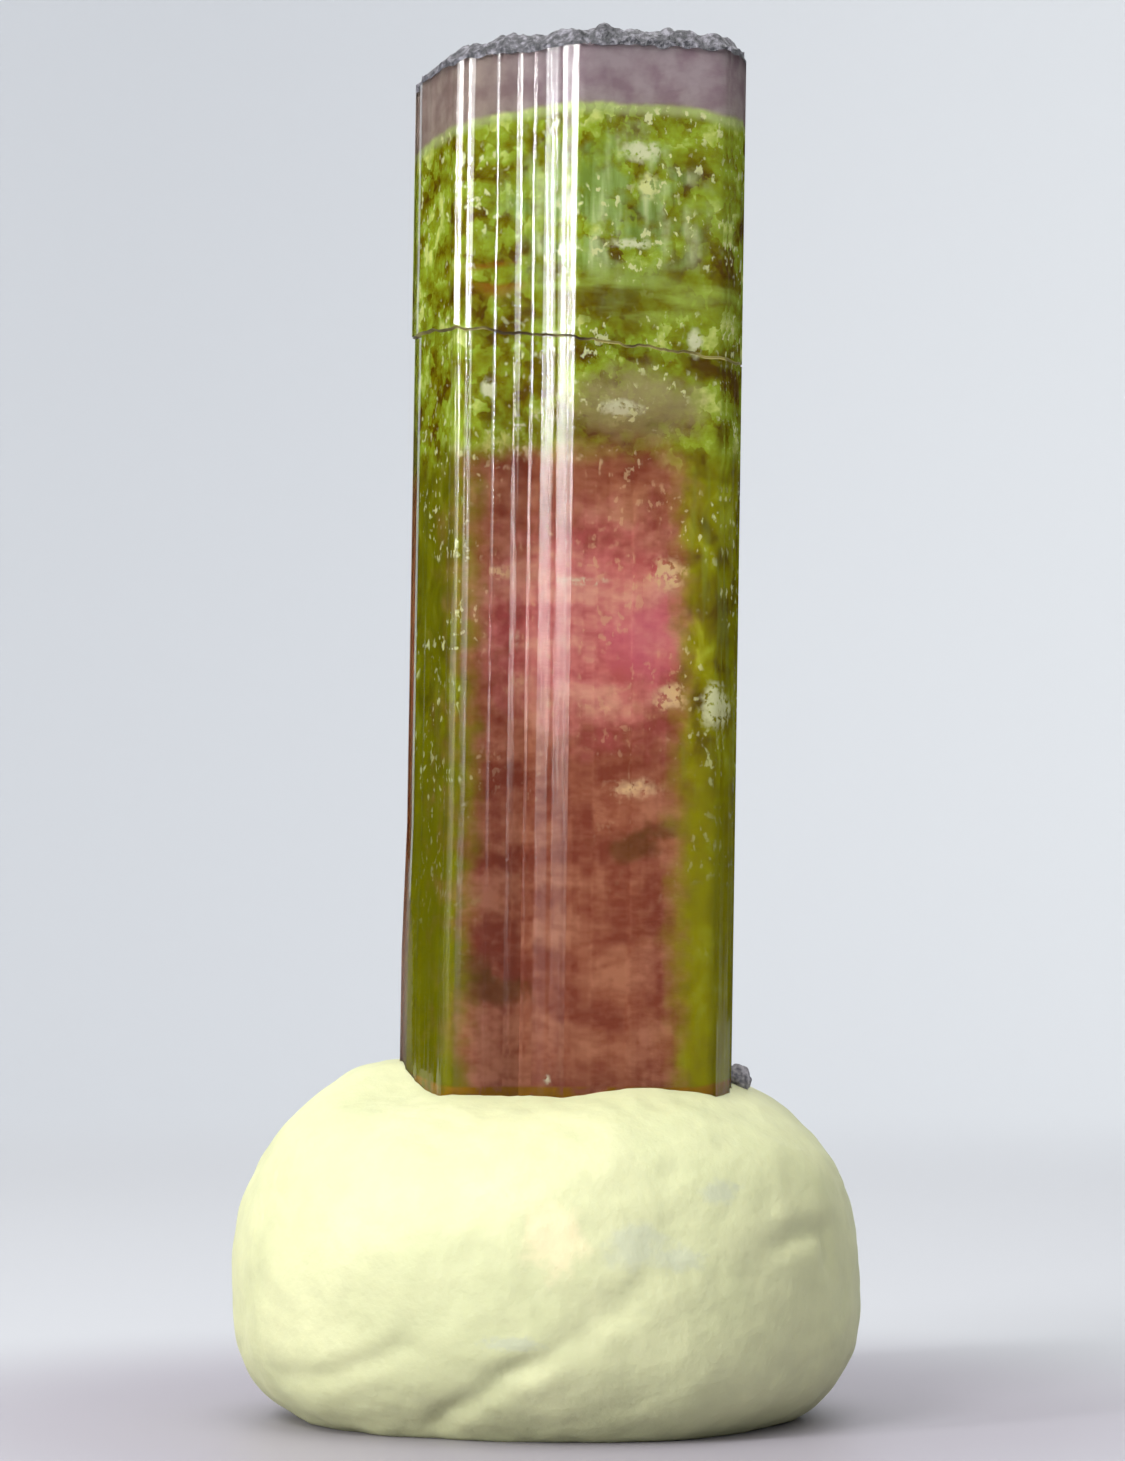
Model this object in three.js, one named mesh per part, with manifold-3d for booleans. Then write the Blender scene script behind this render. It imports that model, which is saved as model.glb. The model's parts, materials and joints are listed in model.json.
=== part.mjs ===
// A watermelon tourmaline crystal standing in the lump of putty that holds it up.
// Millimetres, +Z up, origin on the resting surface under the middle of the lump.
// The side that faces -Y is the one that shows the long bright growth lines.
import * as THREE from "three";
import { mergeVertices } from "three/addons/utils/BufferGeometryUtils.js";
import Module from "manifold-3d";

const wasm = await Module();
wasm.setup();

// Driving dimensions of the crystal, about its own axis.
const FOOT_Z = 5.2; // the broken lower end, hidden in the putty
const PUTTY_LINE_Z = 10.4; // where the crystal comes out of the putty
const RIM_CREST_Z = 43.15; // highest part of the rim of the top end
const RIM_CREST_X = 2.0;
const RIM_FALL = 0.0116; // how fast the rim drops to either side, per square millimetre
const LEAN = THREE.MathUtils.degToRad(0.9); // the crystal leans to +X
const AXIS_X = 0.57; // where the crystal's axis stands at the putty line
const TOP_FLARE = 0.008; // the prism is this share wider at its top end
const SPARE_TOP = 2; // cut away where the rough top end is made
const TOP_DOME = 0.22; // the middle of the top end over its rim
const TOP_ROUGHNESS = 0.14;
const BROKEN_EDGE = 0.07; // share of the outline over which the rim is chipped away
const BROKEN_EDGE_DROP = 0.4;
const TOP_GRID = { x: 11.6, y: 10.4, columns: 26, rows: 22 };

// The stepped stretch of the front: wide treads nearly facing -Y and narrow risers turned to -X.
const TREAD_SLOPE = Math.tan(THREE.MathUtils.degToRad(6));
const RISER_SLOPE = Math.tan(THREE.MathUtils.degToRad(27));
const FRONT_Y = -4.4; // the foremost line of the prism
const STEPS_START_X = -3.81;
const STEPS = [
  // [riser width, width of the tread after it]
  [0.2, 0.16],
  [0.2, 0.67],
  [0.1, 0.55],
  [0.2, 0.31],
  [0.1, 0.27],
  [0.36, 0.17],
  [0.47, 0],
];

// The other corners of the prism, anticlockwise from the front face's right end.
const CORNERS = [
  [4.62, -3.8],
  [5.07, -2.95],
  [5.12, -1.0],
  [4.25, 1.75],
  [2.35, 4.3],
  [-0.55, 4.72],
  [-3.2, 3.65],
  [-5.22, 0.75],
  [-4.98, -0.8],
];
const RIB_WIDTH = 0.34;
const RIB_HEIGHT = 0.07;
const FAINT_RIB_HEIGHT = 0.02; // on the faces either side of the stepped stretch
const RIB_SPACING = 1.05;

// Below the crack the left edge stands in, down to where a sliver of another face widens it again.
const LEFT_INSET = { depth: 0.1, from: -2.5, to: -4.8, foot: 14.5, top: 18.5 };

// The crack that rings the prism, sloping down to +X.
const CRACK_Z = 33.45;
const CRACK_SLOPE = -0.11;
const CRACK_HALF_GAP = 0.08;
const CRACK_INSET = 0.988;

// Driving dimensions of the putty lump.
const LUMP_HALF_X = 9.84;
const LUMP_HALF_Y = 9.2;
const LUMP_WAIST_Z = 4.2; // height of its widest part
const LUMP_RISE = 7.1; // from the waist to the top
const LUMP_DROP = 5.2; // from the waist to where an uncut bottom would be
const UPPER_POWER = 2.55; // 2 is an ellipsoid, more is boxier
const LOWER_POWER = 3.0;
const LUMP_COLUMNS = 90;
const LUMP_ROWS = 50;
const SOCKET_GAP = 0.3;

// Soft swellings and dents pressed into the lump: middle, radius and height along the surface.
const PRESSES = [
  { at: [-1.2, -5.0, 11.3], radius: 4.2, height: -0.8 },
  { at: [-5.8, 1.4, 10.6], radius: 3.0, height: 0.5 },
  { at: [7.6, -4.6, 7.6], radius: 2.6, height: 0.3 },
  { at: [3.6, -8.4, 6.6], radius: 1.9, height: -0.3 },
  { at: [-4.4, -8.3, 1.4], radius: 2.3, height: -0.35 },
  { at: [4.6, -7.9, 1.6], radius: 3.0, height: 0.3 },
  { at: [-6.8, 5.4, 7.4], radius: 3.2, height: -0.45 },
  { at: [2.4, 8.3, 6.2], radius: 3.0, height: -0.4 },
  { at: [7.9, 3.9, 4.4], radius: 2.6, height: 0.25 },
];

// Folds where one roll of putty laps another: a line of points on the surface, with a groove along it
// that fades out over its last stretch.
const FOLD_FADE = 1.5;
const FOLDS = [
  {
    line: [
      [-4.4, -7.4, -0.9],
      [-3.3, -8.2, 0.4],
      [-1.1, -8.9, 2.2],
      [1.2, -9.2, 3.3],
      [2.7, -9.0, 4.7],
      [3.8, -8.6, 5.6],
    ],
    width: 0.72,
    depth: 0.5,
  },
  {
    line: [
      [-8.6, -3.6, 1.6],
      [-6.4, -6.6, 1.9],
      [-3.4, -8.6, 3.2],
    ],
    width: 0.5,
    depth: 0.22,
  },
  {
    line: [
      [6.2, -6.9, 5.2],
      [7.3, -5.9, 6.0],
      [8.4, -4.8, 6.1],
      [8.6, -4.6, 4.4],
    ],
    width: 0.5,
    depth: 0.36,
  },
  {
    line: [
      [-2.6, 8.8, 1.2],
      [0.6, 9.0, 3.6],
      [4.4, 8.0, 6.2],
      [6.6, 5.8, 8.2],
    ],
    width: 0.5,
    depth: 0.4,
  },
];

// A crumb of grey matrix left on the crystal's right-hand edge, just above the putty.
const CRUMB = { at: [5.42, -1.5, 0.3], radius: 0.42 };

// Smooth pseudo-random lumps, the same at every run, between about -1 and 1.
function lumps(x, y, scale) {
  const waves = 7;
  let sum = 0;
  for (let k = 0; k < waves; k += 1) {
    const turn = 2.4 * k + 0.3;
    const pitch = (1.9 + 0.45 * k) / scale;
    sum += Math.sin(pitch * (x * Math.cos(turn) + y * Math.sin(turn)) + 1.7 * k * k);
  }
  return (1.6 * sum) / waves;
}

// One flat face from a to b with raised ribs and sunk grooves along it, without b itself.
function ribbedFace(a, b, first, ribHeight) {
  const along = new THREE.Vector2().subVectors(b, a);
  const length = along.length();
  along.normalize();
  const outward = new THREE.Vector2(along.y, -along.x);
  const points = [a.clone()];
  const count = Math.floor(length / RIB_SPACING);
  for (let k = 0; k < count; k += 1) {
    const middle = (length * (k + 0.5 + 0.22 * Math.sin(7 * (first + k)))) / count;
    const height = ribHeight * ((first + k) % 3 === 1 ? -1 : 1);
    for (const [offset, raise] of [
      [-0.5, 0],
      [-0.2, height],
      [0.2, height],
      [0.5, 0],
    ]) {
      const point = a.clone().addScaledVector(along, middle + offset * RIB_WIDTH);
      points.push(point.addScaledVector(outward, raise));
    }
  }
  return points;
}

// The prism's outline, anticlockwise seen from above: the stepped front, then the ribbed faces.
function crystalOutline() {
  const risers = STEPS.reduce((sum, [riser]) => sum + riser, 0);
  const treads = STEPS.reduce((sum, [, tread]) => sum + tread, 0);
  let x = STEPS_START_X;
  let y = FRONT_Y + risers * RISER_SLOPE + treads * TREAD_SLOPE;
  const front = [new THREE.Vector2(x, y)];
  for (const [riser, tread] of STEPS) {
    x += riser;
    y -= riser * RISER_SLOPE;
    front.push(new THREE.Vector2(x, y));
    if (tread > 0) {
      x += tread;
      y -= tread * TREAD_SLOPE;
      front.push(new THREE.Vector2(x, y));
    }
  }
  const frontEnd = front.pop();
  const corners = [frontEnd, ...CORNERS.map(([cx, cy]) => new THREE.Vector2(cx, cy)), front[0]];
  const sides = [];
  const last = corners.length - 2;
  for (let k = 0; k <= last; k += 1) {
    const ribHeight = k === 0 || k === last ? FAINT_RIB_HEIGHT : RIB_HEIGHT;
    sides.push(...ribbedFace(corners[k], corners[k + 1], 3 * k, ribHeight));
  }
  return [...front, ...sides];
}

// Levels of the prism from the middle of its foot, up the sides, to a plain top above the rough end.
// Each has its share of the outline, its height at x, y and whether its left edge stands in.
const LEVELS = [
  { share: 0, z: (x, y) => FOOT_Z + 0.5 + 0.2 * lumps(x, y, 1.6) },
  { share: 0.55, z: (x, y) => FOOT_Z + 0.3 + 0.25 * lumps(x, y, 1.6) },
  { share: 0.93, z: (x, y) => FOOT_Z + 0.1 * lumps(x, y, 1.6) },
  { share: 1, z: () => FOOT_Z + 0.45 },
  { share: 1, z: () => PUTTY_LINE_Z },
  { share: 1, z: () => LEFT_INSET.foot },
  { share: 1, z: () => LEFT_INSET.top, standsIn: true },
  { share: 1, z: (x) => CRACK_Z + CRACK_SLOPE * x - CRACK_HALF_GAP, standsIn: true },
  { share: CRACK_INSET, z: (x) => CRACK_Z + CRACK_SLOPE * x, standsIn: true },
  { share: 1, z: (x) => CRACK_Z + CRACK_SLOPE * x + CRACK_HALF_GAP },
  { share: 1, z: () => RIM_CREST_Z + SPARE_TOP },
  { share: 0, z: () => RIM_CREST_Z + SPARE_TOP },
];

// A closed solid from a geometry whose normals and seams are dropped.
function solidOf(geometry) {
  const bare = geometry.clone();
  bare.deleteAttribute("normal");
  bare.deleteAttribute("uv");
  const merged = mergeVertices(bare, 1e-4);
  return new wasm.Manifold(
    new wasm.Mesh({
      numProp: 3,
      vertProperties: merged.attributes.position.array,
      triVerts: new Uint32Array(merged.index.array),
    }),
  );
}

// A three.js geometry from a solid.
function geometryOf(solid) {
  const mesh = solid.getMesh();
  const geometry = new THREE.BufferGeometry();
  geometry.setAttribute("position", new THREE.BufferAttribute(mesh.vertProperties, 3));
  geometry.setIndex(new THREE.BufferAttribute(mesh.triVerts, 1));
  geometry.computeVertexNormals();
  return geometry;
}

// The whole prism: a lathed solid with one segment for each outline point, moved onto the outline.
function prismGeometry(outline) {
  const profile = LEVELS.map((level, j) => new THREE.Vector2(level.share, j));
  const lathe = new THREE.LatheGeometry(profile, outline.length);
  const position = lathe.attributes.position;
  for (let k = 0; k < position.count; k += 1) {
    const level = LEVELS[Math.round(position.getY(k))];
    const turn = Math.atan2(position.getX(k), position.getZ(k)) / (2 * Math.PI);
    const i = Math.round((turn + 1) * outline.length) % outline.length;
    const x = level.share * outline[i].x;
    const y = level.share * outline[i].y;
    const z = level.z(x, y);
    const flare = 1 + (TOP_FLARE * (z - PUTTY_LINE_Z)) / (RIM_CREST_Z - PUTTY_LINE_Z);
    const leftness = THREE.MathUtils.smoothstep(-x, -LEFT_INSET.from, -LEFT_INSET.to);
    const inset = level.standsIn ? LEFT_INSET.depth * leftness : 0;
    position.setXYZ(k, x * flare + inset, y, z);
  }
  return lathe;
}

// How far out a point is, as a share of the way from the prism's axis to its outline.
function shareOfOutline(outline, x, y) {
  const turn = Math.atan2(y, x);
  let share = 0;
  for (let k = 0; k < outline.length; k += 1) {
    const a = outline[k];
    const b = outline[(k + 1) % outline.length];
    const from = Math.atan2(a.y, a.x);
    let to = Math.atan2(b.y, b.x);
    if (to < from - Math.PI) to += 2 * Math.PI;
    const here = turn < from - 1e-9 ? turn + 2 * Math.PI : turn;
    if (here > to) continue;
    const edge = new THREE.Vector2().subVectors(b, a);
    const reach = a.cross(edge) / (Math.cos(turn) * edge.y - Math.sin(turn) * edge.x);
    share = Math.max(share, Math.hypot(x, y) / reach);
  }
  return share;
}

// Height of the rough, etched top end above the point x, y: low lumps that break off at the rim.
function topHeight(outline, x, y) {
  const rim = RIM_CREST_Z - RIM_FALL * (x - RIM_CREST_X) ** 2;
  const share = shareOfOutline(outline, x, y);
  const edge = THREE.MathUtils.smoothstep(share, 1 - 2 * BROKEN_EDGE, 1);
  const rough = TOP_ROUGHNESS * (lumps(x + 0.3 * y, y, 0.62) + 0.6 * lumps(y, x, 0.35));
  return rim + TOP_DOME * (1 - share ** 2) - BROKEN_EDGE_DROP * edge ** 2 + rough;
}

// Everything above the rough top end: a block whose underside has the shape of that end.
function aboveTopGeometry(outline) {
  const block = new THREE.BoxGeometry(TOP_GRID.x, TOP_GRID.y, 10, TOP_GRID.columns, TOP_GRID.rows, 1);
  const position = block.attributes.position;
  for (let k = 0; k < position.count; k += 1) {
    const [x, y] = [position.getX(k), position.getY(k)];
    const underside = position.getZ(k) < 0;
    position.setZ(k, underside ? topHeight(outline, x, y) : RIM_CREST_Z + 2 * SPARE_TOP);
  }
  return block;
}

// Turns and moves a geometry from the crystal's own axis to where it stands in the putty.
function lean(geometry) {
  geometry.translate(0, 0, -PUTTY_LINE_Z);
  geometry.rotateY(LEAN);
  geometry.translate(AXIS_X, 0, PUTTY_LINE_Z);
  return geometry;
}

// The crumb is a rough low-sided pebble that grows out of the prism's edge.
function crumbGeometry() {
  const crumb = new THREE.IcosahedronGeometry(CRUMB.radius, 1);
  const position = crumb.attributes.position;
  for (let k = 0; k < position.count; k += 1) {
    const [x, y, z] = [position.getX(k), position.getY(k), position.getZ(k)];
    const swell = 1 + 0.22 * lumps(x + z, y - z, 0.3);
    position.setXYZ(k, x * swell * 1.1, y * swell, z * swell);
  }
  crumb.translate(CRUMB.at[0], CRUMB.at[1], PUTTY_LINE_Z + CRUMB.at[2]);
  return crumb;
}

// The point of the plain lump, before presses and folds, straight out from its middle through at.
function ontoLump(at) {
  const rise = at[2] >= LUMP_WAIST_Z ? LUMP_RISE : LUMP_DROP;
  const power = at[2] >= LUMP_WAIST_Z ? UPPER_POWER : LOWER_POWER;
  const across = Math.hypot(at[0] / LUMP_HALF_X, at[1] / LUMP_HALF_Y);
  const up = Math.abs(at[2] - LUMP_WAIST_Z) / rise;
  const size = (across ** power + up ** power) ** (-1 / power);
  return new THREE.Vector3(
    at[0] * size,
    at[1] * size,
    LUMP_WAIST_Z + (at[2] - LUMP_WAIST_Z) * size,
  );
}

const PRESS_POINTS = PRESSES.map((press) => ontoLump(press.at));
const FOLD_LINES = FOLDS.map((fold) => fold.line.map(ontoLump));

// How much a fold raises the surface at a point: low banks either side of a narrow groove.
function foldHeight(point, line, width, depth) {
  const stretch = new THREE.Line3();
  const nearest = new THREE.Vector3();
  let away = Infinity;
  let passed = 0;
  let along = 0;
  for (let k = 0; k < line.length - 1; k += 1) {
    stretch.set(line[k], line[k + 1]);
    stretch.closestPointToPoint(point, true, nearest);
    if (nearest.distanceTo(point) < away) {
      away = nearest.distanceTo(point);
      along = passed + nearest.distanceTo(line[k]);
    }
    passed += stretch.distance();
  }
  const fade = THREE.MathUtils.smoothstep(Math.min(along, passed - along), 0, FOLD_FADE);
  const banks = 0.45 * Math.exp(-((away / (2.4 * width)) ** 2));
  const groove = 1.35 * Math.exp(-((away / width) ** 2));
  return fade * depth * (banks - groove);
}

// A point of the lump's surface, for a direction on the unit sphere with +Z up.
function lumpPoint(direction) {
  const upper = direction.z >= 0;
  const power = 2 / (upper ? UPPER_POWER : LOWER_POWER);
  const across = Math.hypot(direction.x, direction.y);
  const reach = across ** power / Math.max(across, 1e-9);
  const rise = Math.abs(direction.z) ** power * (upper ? LUMP_RISE : -LUMP_DROP);
  const point = new THREE.Vector3(
    direction.x * reach * LUMP_HALF_X,
    direction.y * reach * LUMP_HALF_Y,
    LUMP_WAIST_Z + rise,
  );
  const outward = new THREE.Vector3(
    point.x / LUMP_HALF_X ** 2,
    point.y / LUMP_HALF_Y ** 2,
    (point.z - LUMP_WAIST_Z) / LUMP_RISE ** 2,
  ).normalize();
  let raise = 0;
  PRESSES.forEach((press, k) => {
    const away = point.distanceTo(PRESS_POINTS[k]) / press.radius;
    raise += press.height * Math.exp(-(away ** 2));
  });
  FOLDS.forEach((fold, k) => {
    raise += foldHeight(point, FOLD_LINES[k], fold.width, fold.depth);
  });
  return point.addScaledVector(outward, raise);
}

// The lump before the crystal is pressed in: a sphere moved onto the lump's form, its poles up and down.
function lumpGeometry() {
  const sphere = new THREE.SphereGeometry(1, LUMP_COLUMNS, LUMP_ROWS);
  sphere.rotateX(Math.PI / 2);
  const position = sphere.attributes.position;
  const direction = new THREE.Vector3();
  for (let k = 0; k < position.count; k += 1) {
    direction.fromBufferAttribute(position, k).normalize();
    const point = lumpPoint(direction);
    position.setXYZ(k, point.x, point.y, point.z);
  }
  return sphere;
}

// What the crystal presses out of the putty: its plain outline, a little larger all round.
function socketGeometry(outline) {
  const room = SOCKET_GAP + RIB_HEIGHT;
  const corners = [outline[0], outline[3], outline[2 * STEPS.length - 2]];
  corners.push(...CORNERS.map(([x, y]) => new THREE.Vector2(x, y)));
  const grown = corners.map((corner) => corner.clone().setLength(corner.length() + room * 1.08));
  const socket = new THREE.ExtrudeGeometry(new THREE.Shape(grown), {
    depth: 20,
    bevelEnabled: false,
  });
  socket.translate(0, 0, FOOT_Z - SOCKET_GAP);
  return socket;
}

function crystalMesh(outline) {
  const solid = solidOf(lean(prismGeometry(outline)))
    .subtract(solidOf(lean(aboveTopGeometry(outline))))
    .add(solidOf(lean(crumbGeometry())));
  const material = new THREE.MeshStandardMaterial({
    color: 0x8a7a3c,
    roughness: 0.12,
    metalness: 0,
  });
  const mesh = new THREE.Mesh(geometryOf(solid), material);
  mesh.name = "tourmaline_crystal";
  return mesh;
}

function puttyMesh(outline) {
  const table = new THREE.BoxGeometry(40, 40, 10);
  table.translate(0, 0, -5);
  const crumbRoom = new THREE.IcosahedronGeometry(CRUMB.radius + SOCKET_GAP + 0.1, 1);
  crumbRoom.translate(CRUMB.at[0], CRUMB.at[1], PUTTY_LINE_Z + CRUMB.at[2]);
  const solid = solidOf(lumpGeometry())
    .subtract(solidOf(table))
    .subtract(solidOf(lean(socketGeometry(outline))))
    .subtract(solidOf(lean(crumbRoom)));
  const material = new THREE.MeshStandardMaterial({
    color: 0xeef0cf,
    roughness: 0.75,
    metalness: 0,
  });
  const mesh = new THREE.Mesh(geometryOf(solid), material);
  mesh.name = "putty_lump";
  return mesh;
}

const outline = crystalOutline();
const specimen = new THREE.Group();
specimen.add(crystalMesh(outline), puttyMesh(outline));

// The frame's origin is under the middle of the whole object, on the resting surface.
const box = new THREE.Box3().setFromObject(specimen);
const middle = box.getCenter(new THREE.Vector3());
specimen.position.set(-middle.x, -middle.y, -box.min.z);

export default specimen;
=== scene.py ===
"""A watermelon tourmaline crystal in display putty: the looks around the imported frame.

Lengths in the classes below are millimetres in the frame's own axes, with +Z up and -Y the side
that the camera sees. Every mesh is scaled to metres when it is finished.
"""

from __future__ import annotations

import json
import logging
import math
from dataclasses import dataclass, field
from enum import Enum
from typing import Callable, Sequence

import bmesh
import bpy
from mathutils import Matrix, Vector, noise

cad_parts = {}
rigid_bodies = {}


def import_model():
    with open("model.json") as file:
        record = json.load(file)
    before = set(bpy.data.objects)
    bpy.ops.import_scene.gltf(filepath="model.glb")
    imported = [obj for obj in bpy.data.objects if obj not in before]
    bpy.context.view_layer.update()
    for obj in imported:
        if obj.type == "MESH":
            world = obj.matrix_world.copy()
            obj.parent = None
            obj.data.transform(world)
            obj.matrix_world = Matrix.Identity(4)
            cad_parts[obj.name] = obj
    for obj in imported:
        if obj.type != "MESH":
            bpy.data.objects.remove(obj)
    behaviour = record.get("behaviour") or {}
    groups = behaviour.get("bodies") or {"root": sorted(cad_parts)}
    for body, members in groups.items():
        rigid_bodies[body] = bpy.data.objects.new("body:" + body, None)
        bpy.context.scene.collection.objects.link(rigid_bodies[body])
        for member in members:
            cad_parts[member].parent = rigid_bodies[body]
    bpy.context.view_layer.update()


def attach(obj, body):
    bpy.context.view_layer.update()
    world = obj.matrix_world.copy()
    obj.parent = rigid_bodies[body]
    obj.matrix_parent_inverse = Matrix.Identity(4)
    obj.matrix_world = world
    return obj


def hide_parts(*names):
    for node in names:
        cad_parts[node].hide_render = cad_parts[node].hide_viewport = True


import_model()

MM = 0.001
BODY = "root"
LOG = logging.getLogger("tourmaline")

Point = tuple[float, float, float]
Colour = tuple[float, float, float]
Span = tuple[float, float]
Stops = tuple[tuple[float, Colour], ...]
Piece = bpy.types.Object
Socket = bpy.types.NodeSocket


class Level(Enum):
    """Heights along the crystal, in millimetres above the resting surface."""

    FOOT = 5.2
    PUTTY_LINE = 10.4
    SLIVER_FOOT = 14.5
    SLIVER_TOP = 18.5
    PINK_TOP = 29.9
    CRACK = 33.45
    CAP_BASE = 40.0
    RIM_CREST = 43.15


@dataclass(frozen=True)
class Ripple:
    """One layer of smooth noise in a surface."""

    height: float
    pitch: float
    shift: Point = (0.0, 0.0, 0.0)

    def at(self, x: float, y: float, z: float) -> float:
        """Its height at a place."""
        place = [self.pitch * value + moved for value, moved in zip((x, y, z), self.shift)]
        return self.height * noise.noise(Vector(place))


@dataclass(frozen=True)
class Pattern:
    """Noise whose patches are about size millimetres across; its shift tells one from another."""

    size: float
    detail: float = 3.0
    stretch: Point = (1.0, 1.0, 1.0)
    shift: Point = (0.0, 0.0, 0.0)
    swirl: float = 0.0


@dataclass(frozen=True)
class Spot:
    """A soft-edged patch: its middle, its half sizes, its colour and how far noise frays its edge."""

    at: Point
    reach: Point
    tone: Colour = (1.0, 1.0, 1.0)
    share: float = 1.0
    ragged: float = 0.35


def rippled(ripples: Sequence[Ripple], x: float, y: float = 0.0, z: float = 0.0) -> float:
    """The height of several ripples together at a place."""
    return sum(ripple.at(x, y, z) for ripple in ripples)


def lumps(x: float, y: float, scale: float) -> float:
    """Smooth pseudo-random lumps over a plane, between about -1 and 1.

    Args:
        x: Place across the plane.
        y: Place across the plane.
        scale: Size of the lumps.

    Returns:
        Their height there.
    """
    waves, height = 7, 1.6
    total = 0.0
    for k in range(waves):
        turn = 2.4 * k + 0.3
        pitch = (1.9 + 0.45 * k) / scale
        total += math.sin(pitch * (x * math.cos(turn) + y * math.sin(turn)) + 1.7 * k * k)
    return height * total / waves


def smoothstep(value: float, low: float, high: float) -> float:
    """The usual smooth step from 0 at low to 1 at high."""
    t = min(max((value - low) / (high - low), 0.0), 1.0)
    return t * t * (3 - 2 * t)


def deselect_all() -> None:
    """Leave nothing selected, so that the next operator acts on its own object alone."""
    for other in bpy.context.scene.objects:
        other.select_set(False)


def make_active(piece: Piece) -> None:
    """Select one object alone and make it the active one.

    Args:
        piece: The object.
    """
    deselect_all()
    piece.select_set(True)
    bpy.context.view_layer.objects.active = piece


def smooth_by_angle(piece: Piece, degrees: float) -> None:
    """Shade a piece smooth wherever its faces meet at less than an angle."""
    make_active(piece)
    bpy.ops.object.shade_smooth_by_angle(angle=math.radians(degrees))


def turn_outward(piece: Piece) -> None:
    """Merge doubles and make the normals of a closed piece point outwards.

    Args:
        piece: The piece.
    """
    make_active(piece)
    bpy.ops.object.mode_set(mode="EDIT")
    bpy.ops.mesh.select_all(action="SELECT")
    bpy.ops.mesh.remove_doubles(threshold=1e-4)
    bpy.ops.mesh.normals_make_consistent(inside=False)
    bpy.ops.object.mode_set(mode="OBJECT")


def carve(piece: Piece, cutter: Piece) -> None:
    """Cut one closed piece away from another, and remove the cutter.

    Args:
        piece: What stays.
        cutter: What is cut away.
    """
    cut = piece.modifiers.new("cut", "BOOLEAN")
    cut.operation = "DIFFERENCE"
    cut.solver = "EXACT"
    cut.object = cutter
    make_active(piece)
    bpy.ops.object.modifier_apply(modifier=cut.name)
    bpy.data.objects.remove(cutter)


def to_metres(piece: Piece, name: str) -> Piece:
    """Name a finished piece and bring its mesh from millimetres to metres, its object at the origin.

    Args:
        piece: The finished piece.
        name: The piece's name.

    Returns:
        The same object.
    """
    piece.data.transform(Matrix.Diagonal((MM, MM, MM, 1)) @ piece.matrix_world)
    piece.matrix_world = Matrix.Identity(4)
    piece.name = name
    piece.data.name = name
    return piece


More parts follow.
